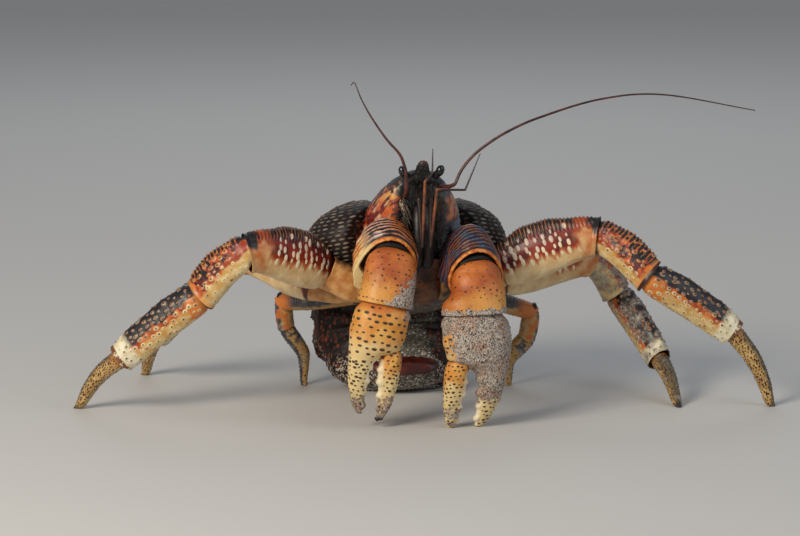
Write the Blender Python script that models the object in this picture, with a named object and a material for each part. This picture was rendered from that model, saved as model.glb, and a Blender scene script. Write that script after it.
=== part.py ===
"""Life-size still model of a coconut crab standing with its claws on the floor.

The crab faces -Y, its left side is +X and the floor is z = 0. Lengths in the tables are
millimetres and MM turns them into metres. Every limb is walked out from its socket by
the lengths of its segments and the yaw and pitch of its pose.
"""

import math

import bmesh
import bpy
from mathutils import Vector

# Driving sizes, in millimetres
MM = 0.001
SPLIT_GAP = 0.15  # what each side of a cut gives up, so two faces stand 0.3 apart
CARVE_GAP = 0.3  # clearance round a piece that another one is hollowed out for
ROSTRUM_TIP_Y = -61
SHIELD_REAR_Y = 22  # the groove across the back, behind the head shield
SHIELD_WEDGE = 16  # half width of the plate between the gill covers
GROOVE_CORNER = (36, 8)  # where the slanting groove meets the flank, in X and Y
GROOVE_YAW = 35
FLOOR_OF_SHIELD = (-40, 135, 78, 100)  # Y and Z at the front and rear of the sternum plane
GILL_COVER_CENTRE = (48, 38, 139.5)
GILL_COVER_HALF = (40, 46, 31)
GILL_COVER_ROLL = 25
ABDOMEN_PIVOT = (60, 62)  # Y and Z of the line that the abdomen curls round
ABDOMEN_SWEEP = (72, -128)  # degrees from straight back, over the rear and under
TERGITE_STEP = 2.6
SEGMENT_LENGTHS = {
    "leg2": {"base": 28, "merus": 90, "carpus": 57, "propodus": 88, "dactyl": 74},
    "leg3": {"base": 28, "merus": 86, "carpus": 50, "propodus": 76, "dactyl": 62},
}
SOCKETS = {"claw": (27, -32, 114), "leg2": (50, 0, 105), "leg3": (54, 26, 99), "leg4": (48, 52, 88)}
# Pose: yaw from straight out sideways (forward is positive) and pitch above level
POSE = {
    ("leg2", "left"): {"base": (6, 27), "merus": (12, 20), "carpus": (31, -36), "propodus": (2, -34)},
    ("leg2", "right"): {"base": (-8, 32), "merus": (32, 17), "carpus": (-26, -44), "propodus": (-16, -39)},
    ("leg3", "left"): {"base": (0, 12), "merus": (-11, 9), "carpus": (-38, -45), "propodus": (58, -44)},
    ("leg3", "right"): {"base": (0, 12), "merus": (-50, 11), "carpus": (22, -36), "propodus": (-56, -38)},
}
DACTYL_YAW = {("leg2", "left"): 1, ("leg2", "right"): -51, ("leg3", "left"): 86, ("leg3", "right"): -79}
# Along a segment: share of its length, half height, half thickness
LEG_SHAPES = {
    "base": ((0.0, 15, 13), (0.5, 16, 13), (1.0, 16, 12.5)),
    "merus": (
        (0.0, 17, 12), (0.14, 21, 13), (0.3, 24, 13.5), (0.45, 24, 13.5),
        (0.6, 22.5, 13), (0.75, 20, 12.5), (0.9, 17.5, 12), (1.0, 16.5, 11.5),
    ),
    "carpus": (
        (0.0, 15, 11), (0.2, 15.5, 11.5), (0.45, 16, 12), (0.7, 16.5, 12.5), (0.9, 16, 12.5), (1.0, 14.5, 12),
    ),
    "propodus": (
        (0.0, 13.5, 11), (0.15, 15, 11.5), (0.35, 15.5, 11.5), (0.55, 15, 11),
        (0.75, 14.5, 10.5), (0.92, 14, 10.5), (1.0, 12, 10),
    ),
    "dactyl": (
        (0.0, 8.5, 8.0), (0.15, 8, 7.5), (0.35, 7.2, 6.8), (0.55, 6.4, 6),
        (0.75, 5.4, 5), (0.9, 4.4, 4.2), (1.0, 3.6, 3.6),
    ),
}
DACTYL_PAST_TIP = 3  # how far a leg's tip runs on below the floor before it is cut flat
LEG3_SCALE = 0.97
LEG_CREST = {"base": 0.15, "merus": 0.55, "carpus": 0.35, "propodus": 0.3, "dactyl": 0.0}
LEG_BOW = {"base": 1, "merus": 5, "carpus": 4, "propodus": 2, "dactyl": 6}
TOOTH_RISE = {"base": 0.0, "merus": 1.3, "carpus": 1.2, "propodus": 1.0, "dactyl": 0.5}
LEG4_LENGTHS = {"base": 20, "merus": 50, "carpus": 24, "palm": 30}
LEG4_POSE = {
    "left": {"base": (-13, -10), "merus": (2, -18), "carpus": (-112, -76), "palm": (-137, -48)},
    "right": {"base": (-27, -10), "merus": (-47, -9), "carpus": (-125, -78), "palm": (-176, -57)},
}
LEG4_RADII = {
    "merus": (9, 10, 10, 10.5, 9.5, 8.5, 5), "carpus": (5, 8, 9, 8.5, 5), "palm": (5, 8, 8.5, 7, 5, 3.8, 3),
}
LEG4_OVERLAP = 5  # how far a length runs past its joint before it is cut there
# Claws: the left one is the larger and reaches further forward and down
CLAW = {
    "left": {
        "lip": 12, "breadth": 1.22, "finger": 1.04, "length": 1.03,
        "wrist": (36, -99, 99), "lean": 2, "forward": 5, "curl": 20,
    },
    "right": {
        "lip": 20, "breadth": 1.0, "finger": 1.0, "length": 1.0,
        "wrist": (37, -88, 107), "lean": 12, "forward": 5, "curl": 13,
    },
}
# Arm of a claw: outward, forward and up from the body's origin, half width, half height, tilt
MERUS_ARCH = {
    "left": (
        (27, -34, 121, 15, 17, -38), (32, -41, 131, 16.5, 22.5, -28), (37.5, -50, 136, 18, 27, -10),
        (40.5, -59, 138, 19.5, 29, 6), (41.5, -69, 133, 21.5, 27, 18), (40, -81, 126, 22.5, 25, 24),
    ),
    "right": (
        (27, -34, 121, 15, 17, -38), (27.5, -40, 134, 20, 24, -28), (29, -47, 142, 24, 28.5, -10),
        (31, -54, 143, 26.5, 30, 6), (31, -63, 140.5, 25.5, 28, 18), (30, -72, 137, 22, 24, 24),
    ),
}
RIM_NORMAL = (0.106, -0.91, -0.40)
RIM_LIP_ANGLE = -38  # where the drawn out corner of the rim stands, above level and outward
CARPUS_ARCH = {
    "left": ((38, -75, 135, 19, 15), (39, -86, 128, 21.5, 16.5), (41, -93, 113, 22.5, 18)),
    "right": ((29, -66, 146, 19, 15), (30, -77, 139, 21.5, 16.5), (33, -84, 124, 22.5, 18)),
}
CARPUS_END = (23, 18.5)  # half width and half depth at the wrist
CLAW_BASE_PATH = ((-6, 8, -5), (0, 0, 0), (0, -3, 6), (0, -5, 11))
CLAW_BASE_RADII = (13, 15, 15, 12)
# Hand: distance from the wrist, sideways shift outward, half breadth, half depth
PALM_SHAPE = (
    (-4, 0, 20, 15.5), (4, 0, 22, 17), (14, 1, 23, 18), (24, 2, 23, 18), (32, 2, 22, 17), (38, 2, 21, 15.5),
)
FIXED_FINGER = (
    (43, 8, 14, 13), (48, 10.5, 10.5, 11.5), (58, 10.5, 9, 10), (68, 9.5, 8, 8.5),
    (78, 7.5, 6.5, 7), (87, 5, 5, 5), (94, 2, 2.6, 2.8),
)
MOVING_FINGER = (
    (36, -12.5, 7.5, 8), (42, -13, 9.5, 10), (52, -14.5, 9.3, 10), (62, -15.5, 8.5, 9), (72, -16.5, 7.3, 7.6),
    (82, -17, 6, 6), (90, -17, 4.2, 4.5), (97, -16.5, 2.4, 2.6),
)
FINGER_ROOT, FINGER_END = 38, 94  # the fingers curl back from the one to the other
FINGER_TOOTH = 1.2
KNOB_RISE = 0.7
# Antenna whips: points of the smooth curve that each one follows, root first
WHIPS = {
    "left": (
        (27, -58, 201), (32, -58, 212), (40, -58.5, 222.5), (51, -59, 232), (70, -60, 244), (98, -61, 256),
        (150, -59, 270), (205, -53, 272), (287, -45, 256),
    ),
    "right": (
        (-15, -59, 214), (-20, -60, 227), (-31, -58, 240), (-43, -54, 258), (-51, -51, 273), (-56, -47, 286),
        (-59, -46, 284),
    ),
}
WHIP_RADII = (1.35, 0.4)
PEDUNCLES = {
    "left": ((15, -40, 193), (19, -49, 197), (24, -55, 199), (27, -58, 201)),
    "right": ((-13, -38, 191), (-14, -50, 190), (-14, -57, 197), (-15, -59, 214)),
}
PEDUNCLE_RADII = (4.2, 3.8, 3.0, 2.0)
ANTENNULES = {
    "left": ((4, -44, 196), (5, -66, 190), (4, -71, 150), (9, -73, 199), (33, -72, 198), (46, -70, 228)),
    "right": ((-4, -44, 196), (-5, -66, 190), (-3, -71, 150), (-1, -73, 206), (6, -68, 212), (7, -64, 232)),
}
ANTENNULE_RADII = (1.9, 1.6, 1.5, 1.4, 1.1, 0.6)
EYE_CENTRE = (16, -49, 212)
EYE_HALF = (3.7, 3.6, 4.9)
EYESTALK_PATH = ((8, -42, 202), (11, -45, 205), (14, -48, 209), (16, -49, 212))
EYESTALK_RADII = (3.4, 3.4, 3.2, 2.4)
MAXILLIPED_PATH = (
    (4.6, -40, 131), (4.6, -52, 134), (4.4, -60, 146), (4.3, -61, 160), (4.3, -58, 174), (4.2, -53, 183),
)
MAXILLIPED_RADII = (4.0, 4.2, 4.2, 4.1, 3.9, 2.6)
MAXILLIPED_FLATTEN = 1.15
# Body: Y, top, bottom, half width and squareness of each section
HEAD_STATIONS = (
    (ROSTRUM_TIP_Y, 221, 218, 2.0, 2.0), (-58.5, 222, 213, 4.6, 2.0), (-55, 220, 207, 6.2, 2.0),
    (-52, 217, 196, 8.5, 2.0), (-50, 214.5, 172, 13, 2.1), (-47, 213, 152, 19, 2.2),
    (-42, 212, 137, 25.5, 2.3), (-34, 210, 124, 31, 2.3), (-24, 207, 116, 35.5, 2.3),
    (-12, 202, 109, 39.5, 2.3), (2, 195, 104, 42, 2.3), (16, 188, 102, 42.5, 2.3), (32, 180, 102, 42, 2.3),
)
REAR_STATIONS = (
    (10, 188, 80, 24, 3.0), (22, 184, 80, 24, 3.0), (32, 178.5, 80, 24, 3.0), (44, 169, 80, 24, 3.0),
    (56, 157, 80, 23, 3.0), (66, 145, 80, 22, 3.0), (74, 134, 84, 20, 2.6), (80, 122, 92, 15, 2.4),
)
THORAX_STATIONS = (
    (-43, 150, 112, 16, 2.4), (-38, 150, 104, 24, 2.5), (-28, 150, 95, 33, 2.6), (-14, 145, 88, 41, 2.7),
    (0, 140, 83, 46, 2.7), (14, 138, 79, 49, 2.7), (28, 136, 76, 50, 2.7), (42, 132, 72, 49, 2.7),
    (56, 128, 68, 46, 2.6), (68, 124, 66, 40, 2.5), (76, 120, 70, 30, 2.3),
)
GILL_ROWS = 15
GILL_BUMP = 0.9
GILL_SAG = 0.22  # how much lower the rear of a gill cover stands than its front
ABDOMEN_RINGS = 5
ABDOMEN_HALF = (74, 36.5)  # half width and half depth where it is thickest
ABDOMEN_MIDDLE = (43, 9)  # how far its middle line stands from the pivot, and how much less at the end
TAIL_FAN = {"start": (41, 29.5), "run": (-13, -3), "width": 30, "depth": (9, 3.5), "rows": 7}
COLOURS = {
    "body": (0.06, 0.035, 0.035), "claw": (0.55, 0.2, 0.05), "hand": (0.6, 0.4, 0.2),
    "merus": (0.35, 0.04, 0.03), "leg": (0.4, 0.12, 0.03), "propodus": (0.12, 0.08, 0.08),
    "dactyl": (0.42, 0.24, 0.06), "rear": (0.1, 0.07, 0.06), "eye": (0.01, 0.01, 0.01),
    "feeler": (0.1, 0.02, 0.02),
}


def vector(point, side=1):
    return Vector((point[0] * side, point[1], point[2])) * MM


def heading(yaw, pitch, side):
    """Unit vector for a yaw from straight out sideways and a pitch above level."""
    yaw, pitch = math.radians(yaw), math.radians(pitch)
    level = math.cos(pitch)
    return Vector((side * level * math.cos(yaw), -level * math.sin(yaw), math.sin(pitch)))


def power(value, exponent):
    return math.copysign(abs(value) ** exponent, value)


def ring(centre, across, up, half_width, half_height, sides, square=2.2, crest=0.0, rise=None):
    """Closed ring of points: a superellipse that may narrow towards its upper side."""
    points = []
    for k in range(sides):
        angle = math.tau * k / sides
        x = half_width * power(math.cos(angle), 2 / square)
        y = half_height * power(math.sin(angle), 2 / square)
        x *= 1 - crest * max(0.0, math.sin(angle)) ** 1.5
        swell = 1 + (rise(k) / math.hypot(half_width, half_height) if rise else 0)
        points.append(centre + (across * x + up * y) * MM * swell)
    return points


def loft(name, rings):
    """Closed solid through rings of equal count, with a point at the middle of each end."""
    sides = len(rings[0])
    bm = bmesh.new()
    rows = [[bm.verts.new(p) for p in points] for points in rings]
    for low, high in zip(rows, rows[1:]):
        for k in range(sides):
            n = (k + 1) % sides
            bm.faces.new((low[k], low[n], high[n], high[k]))
    for row, step in ((rows[0], -1), (rows[-1], 1)):
        middle = bm.verts.new(sum((v.co for v in row), Vector()) / sides)
        for k in range(sides):
            n = (k + 1) % sides
            bm.faces.new((row[k], row[n], middle) if step > 0 else (row[n], row[k], middle))
    bmesh.ops.triangulate(bm, faces=bm.faces)
    bmesh.ops.recalc_face_normals(bm, faces=bm.faces)
    return node_object(name, bm)


def node_object(name, bm):
    mesh = bpy.data.meshes.new(name)
    if bm.calc_volume(signed=True) < 0:
        bmesh.ops.reverse_faces(bm, faces=bm.faces)
    bm.to_mesh(mesh)
    bm.free()
    piece = bpy.data.objects.new(name, mesh)
    bpy.context.scene.collection.objects.link(piece)
    return piece


def keep_largest(bm):
    """Deletes every closed surface but the one that holds the most volume."""
    islands = []
    left = set(bm.faces)
    while left:
        queue = [left.pop()]
        island = list(queue)
        while queue:
            for edge in queue.pop().edges:
                for face in edge.link_faces:
                    if face in left:
                        left.discard(face)
                        queue.append(face)
                        island.append(face)
        volume = abs(sum(f.verts[0].co.dot(f.verts[1].co.cross(f.verts[2].co)) for f in island))
        islands.append((volume, island))
    islands.sort(key=lambda pair: pair[0])
    for _, island in islands[:-1]:
        bmesh.ops.delete(bm, geom=island, context="FACES")


def cut(piece, point, normal, gap=SPLIT_GAP):
    """Removes what lies past a plane, less a small gap, and closes the section."""
    normal = Vector(normal).normalized()
    bm = bmesh.new()
    bm.from_mesh(piece.data)
    geometry = bm.verts[:] + bm.edges[:] + bm.faces[:]
    plane = Vector(point) - normal * gap * MM
    bmesh.ops.bisect_plane(bm, geom=geometry, dist=1e-7, plane_co=plane, plane_no=normal, clear_outer=True)
    rim = [edge for edge in bm.edges if edge.is_boundary]
    bmesh.ops.holes_fill(bm, edges=rim)
    bmesh.ops.triangulate(bm, faces=bm.faces)
    keep_largest(bm)
    bm.to_mesh(piece.data)
    bm.free()


def evaluated(piece):
    """Replaces a piece's mesh by what its modifiers make of it."""
    graph = bpy.context.evaluated_depsgraph_get()
    mesh = bpy.data.meshes.new_from_object(piece.evaluated_get(graph))
    piece.modifiers.clear()
    old = piece.data
    piece.data = mesh
    bpy.data.meshes.remove(old)
    mesh.name = piece.name


def tidy(piece):
    bm = bmesh.new()
    bm.from_mesh(piece.data)
    bmesh.ops.remove_doubles(bm, verts=bm.verts, dist=1e-6)
    bmesh.ops.dissolve_degenerate(bm, edges=bm.edges, dist=1e-6)
    bmesh.ops.triangulate(bm, faces=bm.faces)
    keep_largest(bm)
    bm.to_mesh(piece.data)
    bm.free()


def boolean(piece, cutter, operation):
    modifier = piece.modifiers.new("cut", "BOOLEAN")
    modifier.operation = operation
    modifier.solver = "MANIFOLD"
    modifier.object = cutter
    evaluated(piece)
    bpy.data.objects.remove(cutter)
    tidy(piece)


def near(a, b):
    """Whether two pieces' boxes meet."""
    boxes = []
    for piece in (a, b):
        corners = [v.co for v in piece.data.vertices]
        boxes.append([(min(c[i] for c in corners), max(c[i] for c in corners)) for i in range(3)])
    return all(p[0] - MM < q[1] and q[0] - MM < p[1] for p, q in zip(*boxes))


def carve(piece, *others):
    """Hollows a piece out round its neighbours, leaving the carving gap."""
    for other in others:
        if not near(piece, other):
            continue
        cutter = bpy.data.objects.new("cutter", other.data.copy())
        bpy.context.scene.collection.objects.link(cutter)
        for vertex, normal in [(v, v.normal.copy()) for v in cutter.data.vertices]:
            vertex.co += normal * CARVE_GAP * MM
        boolean(piece, cutter, "DIFFERENCE")


def finish(piece, colour, roughness=0.45, smooth_angle=50):
    surface = bpy.data.materials.new(piece.name)
    surface.use_nodes = True
    shader = surface.node_tree.nodes["Principled BSDF"]
    shader.inputs["Base Color"].default_value = (*colour, 1)
    shader.inputs["Roughness"].default_value = roughness
    shader.inputs["Metallic"].default_value = 0.0
    piece.data.materials.clear()
    piece.data.materials.append(surface)
    piece.data.shade_smooth()
    piece.data.set_sharp_from_angle(angle=math.radians(smooth_angle))


def curve_points(points, steps):
    """Points along the smooth curve that passes through the ones given."""
    ends = [points[0] * 2 - points[1], *points, points[-1] * 2 - points[-2]]
    out = []
    for a, b, c, d in zip(ends, ends[1:], ends[2:], ends[3:]):
        for k in range(steps):
            t = k / steps
            bend = a * 2 - b * 5 + c * 4 - d
            twist = b * 3 - a - c * 3 + d
            out.append((b * 2 + (c - a) * t + bend * t * t + twist * t**3) / 2)
    return out + [points[-1]]


def between(values, share):
    """Value at a share of the way along a row of evenly spaced ones."""
    place = share * (len(values) - 1)
    low = min(int(place), len(values) - 2)
    return values[low] + (values[low + 1] - values[low]) * (place - low)


def spread(values, count):
    return [between(values, k / (count - 1)) for k in range(count)]


def tube(name, path, radii, sides, flatten=1.0, up_hint=Vector((0, 0, 1))):
    """Tube along a path, its radius (in millimetres) given at each point."""
    rings = []
    for k, centre in enumerate(path):
        along = (path[min(k + 1, len(path) - 1)] - path[max(k - 1, 0)]).normalized()
        across = along.cross(up_hint).normalized()
        up = across.cross(along).normalized()
        rings.append(ring(centre, across, up, radii[k], radii[k] * flatten, sides, square=2.0))
    return loft(name, rings)


# Body


def body_rings(stations, sides):
    """Rings across the body from rows of Y, top, bottom, half width and squareness."""
    across, up = Vector((1, 0, 0)), Vector((0, 0, 1))
    rings = []
    for y, top, bottom, half_width, square in stations:
        centre = Vector((0, y, (top + bottom) / 2)) * MM
        rings.append(ring(centre, across, up, half_width, (top - bottom) / 2, sides, square))
    return rings


def sternum_plane():
    front_y, front_z, rear_y, rear_z = FLOOR_OF_SHIELD
    point = Vector((0, front_y, front_z)) * MM
    along = Vector((0, rear_y - front_y, rear_z - front_z)).normalized()
    return point, along.cross(Vector((1, 0, 0))) * -1


def groove_plane(side):
    yaw = math.radians(GROOVE_YAW)
    point = Vector((GROOVE_CORNER[0] * side, GROOVE_CORNER[1], 0)) * MM
    return point, Vector((side * math.sin(yaw), math.cos(yaw), 0))


def head_shield():
    """Rostrum, brow, cheeks and the front half of the carapace."""
    piece = loft("head_shield", body_rings(HEAD_STATIONS, 24))
    cut(piece, (0, SHIELD_REAR_Y * MM, 0), (0, 1, 0))
    for side in (-1, 1):
        cut(piece, *groove_plane(side))
    point, up = sternum_plane()
    cut(piece, point, -up)
    return piece


def rear_shield():
    """Narrow plate over the heart, between the gill covers."""
    piece = loft("rear_shield", body_rings(REAR_STATIONS, 20))
    cut(piece, (0, SHIELD_REAR_Y * MM, 0), (0, -1, 0))
    for side in (-1, 1):
        cut(piece, (side * SHIELD_WEDGE * MM, 0, 0), (side, 0, 0))
    point, up = sternum_plane()
    cut(piece, point, -up)
    return piece


def gill_cover(side_name, side):
    """One of the two swollen lobes over the gills, with its rows of low bumps."""
    roll = math.radians(GILL_COVER_ROLL)
    across = Vector((side * math.cos(roll), 0, -math.sin(roll)))
    up = Vector((side * math.sin(roll), 0, math.cos(roll)))
    half_across, half_along, half_up = GILL_COVER_HALF
    rings = []
    for row in range(GILL_ROWS):
        angle = math.pi * (row + 0.5) / GILL_ROWS
        y = -math.cos(angle)
        size = math.sin(angle) ** 0.85
        centre = vector(GILL_COVER_CENTRE, side) + Vector((0, y, -GILL_SAG * y)) * half_along * MM
        bumpy = 2 < row < GILL_ROWS - 3
        rings.append(
            ring(
                centre, across, up, half_across * size, half_up * size, 20,
                rise=lambda k, row=row, bumpy=bumpy: GILL_BUMP if bumpy and (k + row) % 2 else 0,
            )
        )
    piece = loft("gill_cover_" + side_name, rings)
    point, back = groove_plane(side)
    cut(piece, point, -back)
    cut(piece, (side * SHIELD_WEDGE * MM, 0, 0), (-side, 0, 0))
    point, up = sternum_plane()
    cut(piece, point, -up)
    return piece


def thorax_base():
    """Sternum and flanks between the leg sockets, under the carapace."""
    piece = loft("thorax_base", body_rings(THORAX_STATIONS, 20))
    cut(piece, *sternum_plane())
    return piece


def abdomen():
    """Curled abdomen with a stepped back plate for each ring, resting on the floor."""
    pivot_y, pivot_z = ABDOMEN_PIVOT
    start, end = ABDOMEN_SWEEP
    half_width, half_depth = ABDOMEN_HALF
    steps = ((0, 0), (0.45, 0.6), (0.92, 1))  # rise of a back plate along its own ring
    marks = [((band + row) / ABDOMEN_RINGS, lift) for band in range(ABDOMEN_RINGS) for row, lift in steps]
    marks.append((1, 0))
    sides = 24
    rings = []
    for share, lift in marks:
        angle = math.radians(start + (end - start) * share)
        outward = Vector((0, math.cos(angle), math.sin(angle)))
        swell = math.sin(math.pi * (0.16 + 0.72 * share)) ** 0.7
        width = half_width * swell * (1 - 0.32 * share**3)
        depth = half_depth * swell * (1 - 0.3 * share**4)
        middle = ABDOMEN_MIDDLE[0] - ABDOMEN_MIDDLE[1] * share**2
        step = TERGITE_STEP * lift * 2
        centre = Vector((0, pivot_y, pivot_z)) * MM + outward * middle * MM
        rings.append(
            ring(
                centre, Vector((1, 0, 0)), outward, width, depth, sides,
                rise=lambda k, step=step: step if 1 <= k <= sides // 2 - 1 else 0,
            )
        )
    piece = loft("abdomen", rings)
    cut(piece, (0, 0, 0), (0, 0, -1), gap=0)
    return piece


def tail_fan():
    """Telson and the small plates beside it, tucked forward under the body."""
    across, up = Vector((1, 0, 0)), Vector((0, 0.3, 0.95))
    start, run = Vector((0, *TAIL_FAN["start"])), Vector((0, *TAIL_FAN["run"]))
    rings = []
    for k in range(TAIL_FAN["rows"]):
        share = k / (TAIL_FAN["rows"] - 1)
        width = TAIL_FAN["width"] * math.sin(math.pi * (0.25 + 0.55 * share)) ** 0.6
        depth = TAIL_FAN["depth"][0] - TAIL_FAN["depth"][1] * share
        rings.append(ring((start + run * share) * MM, across, up, width, depth, 16, square=2.6))
    return loft("tail_fan", rings)


def maxilliped(side_name, side):
    """Third mouth leg: two long articles standing side by side before the mouth."""
    path = curve_points([vector(p, side) for p in MAXILLIPED_PATH], 2)
    radii = spread(MAXILLIPED_RADII, len(path))
    return tube("maxilliped_" + side_name, path, radii, 8, MAXILLIPED_FLATTEN, Vector((0, 1, 0.2)))


def eye(side_name, side):
    half_width, half_depth, half_height = EYE_HALF
    across, back = Vector((1, 0, 0)), Vector((0, 1, 0))
    rings = []
    rows = 8
    for row in range(rows):
        angle = math.pi * (row + 0.5) / rows
        centre = vector(EYE_CENTRE, side) - Vector((0, 0, math.cos(angle) * half_height * MM))
        size = math.sin(angle)
        rings.append(ring(centre, across, back, half_width * size, half_depth * size, 12, square=2.0))
    return loft("eye_" + side_name, rings)


def eyestalk(side_name, side):
    path = [vector(p, side) for p in EYESTALK_PATH]
    return tube("eyestalk_" + side_name, path, EYESTALK_RADII, 8)


# Feelers


def whip_lengths(side_name):
    """The long antenna, parted into two lengths at half way."""
    path = curve_points([vector(p) for p in WHIPS[side_name]], 3)
    radii = spread(WHIP_RADII, len(path))
    middle = len(path) // 2
    direction = (path[middle + 1] - path[middle - 1]).normalized()
    lengths = []
    for number, first, last, turn in ((1, 0, middle + 2, 1), (2, middle - 1, len(path), -1)):
        name = f"antenna_{side_name}_{number}"
        piece = tube(name, path[first:last], radii[first:last], 6, 1.0, Vector((0, 1, 0)))
        cut(piece, path[middle], direction * turn)
        lengths.append(piece)
    return lengths


def peduncle(side_name):
    path = curve_points([vector(p) for p in PEDUNCLES[side_name]], 2)
    radii = spread(PEDUNCLE_RADII, len(path))
    return tube("antenna_base_" + side_name, path, radii, 8, 1.0, Vector((1, 0, 0)))


def antennule(side_name):
    """Folded first feeler: straight articles like a jointed rod, joined at their ends."""
    path = [vector(p) for p in ANTENNULES[side_name]]
    whole = None
    for k, (a, b) in enumerate(zip(path, path[1:])):
        along = (b - a).normalized()
        hint = Vector((0, 1, 0)) if abs(along.y) < 0.8 else Vector((1, 0, 0))
        low, high = ANTENNULE_RADII[k], ANTENNULE_RADII[k + 1]
        reach = along * low * 0.6 * MM
        points = [a - reach, a, b, b + along * high * 0.6 * MM]
        radii = (low * 0.7, low, high * 1.05, high * 0.7)
        article = tube(f"antennule_{side_name}", points, radii, 6, 1.0, hint)
        if whole:
            boolean(whole, article, "UNION")
        else:
            whole = article
    whole.name = f"antennule_{side_name}"
    return whole


# Limbs


def joint_normal(before, after):
    return (before.normalized() + after.normalized()).normalized()


def dorsal(along):
    """The direction square to a segment that points most nearly up."""
    up = Vector((0, 0, 1)) - along * along.z
    return up.normalized()


def segment(name, start, end, kind, scale=1.0, sides=12, up=None):
    """Leg segment with domed ends, its crest toothed and its middle bowed upward."""
    along = (end - start).normalized()
    length = (end - start).length
    up = up or dorsal(along)
    across = along.cross(up)
    shape = LEG_SHAPES[kind]
    bow = LEG_BOW[kind] * MM * scale
    rise = TOOTH_RISE[kind] * scale
    stations = []
    first, last = shape[0], shape[-1]
    stations.append((-0.8 * first[1] * scale, first[1] * 0.55, first[2] * 0.55))
    stations += [(share * length / MM, height, thick) for share, height, thick in shape]
    stations.append((length / MM + 0.8 * last[1] * scale, last[1] * 0.55, last[2] * 0.55))
    rings = []
    for row, (distance, height, thick) in enumerate(stations):
        share = min(max(distance * MM / length, 0), 1)
        centre = start + along * distance * MM + up * bow * math.sin(math.pi * share)
        rings.append(
            ring(
                centre, across, up, thick * scale, height * scale, sides, 2.2, LEG_CREST[kind],
                rise=lambda k, row=row: rise if row % 2 and k in (2, 3, 4) else 0,
            )
        )
    return loft(name, rings)


def leg_joints(leg, side_name, side):
    """Joint centres of a walking leg from its socket to the tip on the floor."""
    lengths = SEGMENT_LENGTHS[leg]
    points = [vector(SOCKETS[leg], side)]
    for kind in ("base", "merus", "carpus", "propodus"):
        yaw, pitch = POSE[leg, side_name][kind]
        points.append(points[-1] + heading(yaw, pitch, side) * lengths[kind] * MM)
    reach = lengths["dactyl"] * MM
    fall = math.degrees(math.asin(points[-1].z / reach))
    points.append(points[-1] + heading(DACTYL_YAW[leg, side_name], -fall, side) * reach)
    return points


def walking_leg(leg, side_name, side):
    points = leg_joints(leg, side_name, side)
    scale = 1.0 if leg == "leg2" else LEG3_SCALE
    kinds = ("base", "merus", "carpus", "propodus", "dactyl")
    ways = [b - a for a, b in zip(points, points[1:])]
    pieces = []
    for k, kind in enumerate(kinds):
        end = points[k + 1]
        if kind == "dactyl":
            end = end + ways[k].normalized() * DACTYL_PAST_TIP * MM
        piece = segment(f"{leg}_{side_name}_{kind}", points[k], end, kind, scale)
        if k:
            cut(piece, points[k], -joint_normal(ways[k - 1], ways[k]))
        if k < len(kinds) - 1:
            cut(piece, points[k + 1], joint_normal(ways[k], ways[k + 1]))
        pieces.append(piece)
    cut(pieces[-1], (0, 0, 0), (0, 0, -1), gap=0)
    return pieces


def fourth_leg(side_name, side):
    """Short rear leg: arm, wrist and a small hand that ends in a finger on the floor."""
    pose = LEG4_POSE[side_name]
    points = [vector(SOCKETS["leg4"], side)]
    for kind in ("base", "merus", "carpus", "palm"):
        points.append(points[-1] + heading(*pose[kind], side) * LEG4_LENGTHS[kind] * MM)
    tip = points[-1] + Vector((0.15 * side * MM, 0, -points[-1].z - 2 * MM))
    ways = [b - a for a, b in zip(points, points[1:])]
    past = [way.normalized() * LEG4_OVERLAP * MM for way in ways]
    up = Vector((side * 0.7, 0, 0.7))
    socket, elbow, knee, wrist, knuckle = points
    paths = {
        "merus": [
            socket - ways[0] * 0.3, socket, elbow, elbow.lerp(knee, 0.4), elbow.lerp(knee, 0.8), knee,
            knee + past[1],
        ],
        "carpus": [knee - past[2], knee, knee.lerp(wrist, 0.5), wrist, wrist + past[2]],
        "palm": [
            wrist - past[3], wrist, wrist.lerp(knuckle, 0.4), knuckle, knuckle.lerp(tip, 0.4),
            knuckle.lerp(tip, 0.8), tip,
        ],
    }
    arm, shin, hand = (
        tube(f"leg4_{side_name}_{kind}", path, LEG4_RADII[kind], 10, 0.85 if kind != "carpus" else 0.9, up)
        for kind, path in paths.items()
    )
    at_knee, at_wrist = joint_normal(ways[1], ways[2]), joint_normal(ways[2], ways[3])
    cut(arm, knee, at_knee)
    cut(shin, knee, -at_knee)
    cut(shin, wrist, at_wrist)
    cut(hand, wrist, -at_wrist)
    cut(hand, (0, 0, 0), (0, 0, -1), gap=0)
    return [arm, shin, hand]


def lip(k, sides, side):
    """Share of the lip's reach at a place on an arm's ring: 1 at its outer lower corner."""
    corner = math.radians(RIM_LIP_ANGLE if side > 0 else 180 - RIM_LIP_ANGLE)
    return max(0.0, math.cos(math.tau * k / sides - corner)) ** 7


def claw_merus(side_name, side, claw):
    """Arched arm of a claw, swollen on top, that opens forward at its rim."""
    rings = []
    arch = MERUS_ARCH[side_name]
    sides = 20
    for row, (x, y, z, half_width, half_height, tilt) in enumerate(arch):
        share = row / (len(arch) - 1)
        centre = vector((x, y, z), side)
        tilt = math.radians(tilt)
        up = Vector((0, -math.sin(tilt), math.cos(tilt)))
        rings.append(
            ring(
                centre, Vector((1, 0, 0)), up, half_width, half_height, sides, 2.2, 0.22,
                rise=lambda k, share=share: claw["lip"] * share**3 * lip(k, sides, side),
            )
        )
    tail = centre
    forward = vector(RIM_NORMAL, side).normalized()
    rings.append([tail + forward * 8 * MM + (p - tail) * 0.8 for p in rings[-1]])
    piece = loft(f"claw_{side_name}_merus", rings)
    cut(piece, tail, forward)
    return piece, tail, forward


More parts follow.
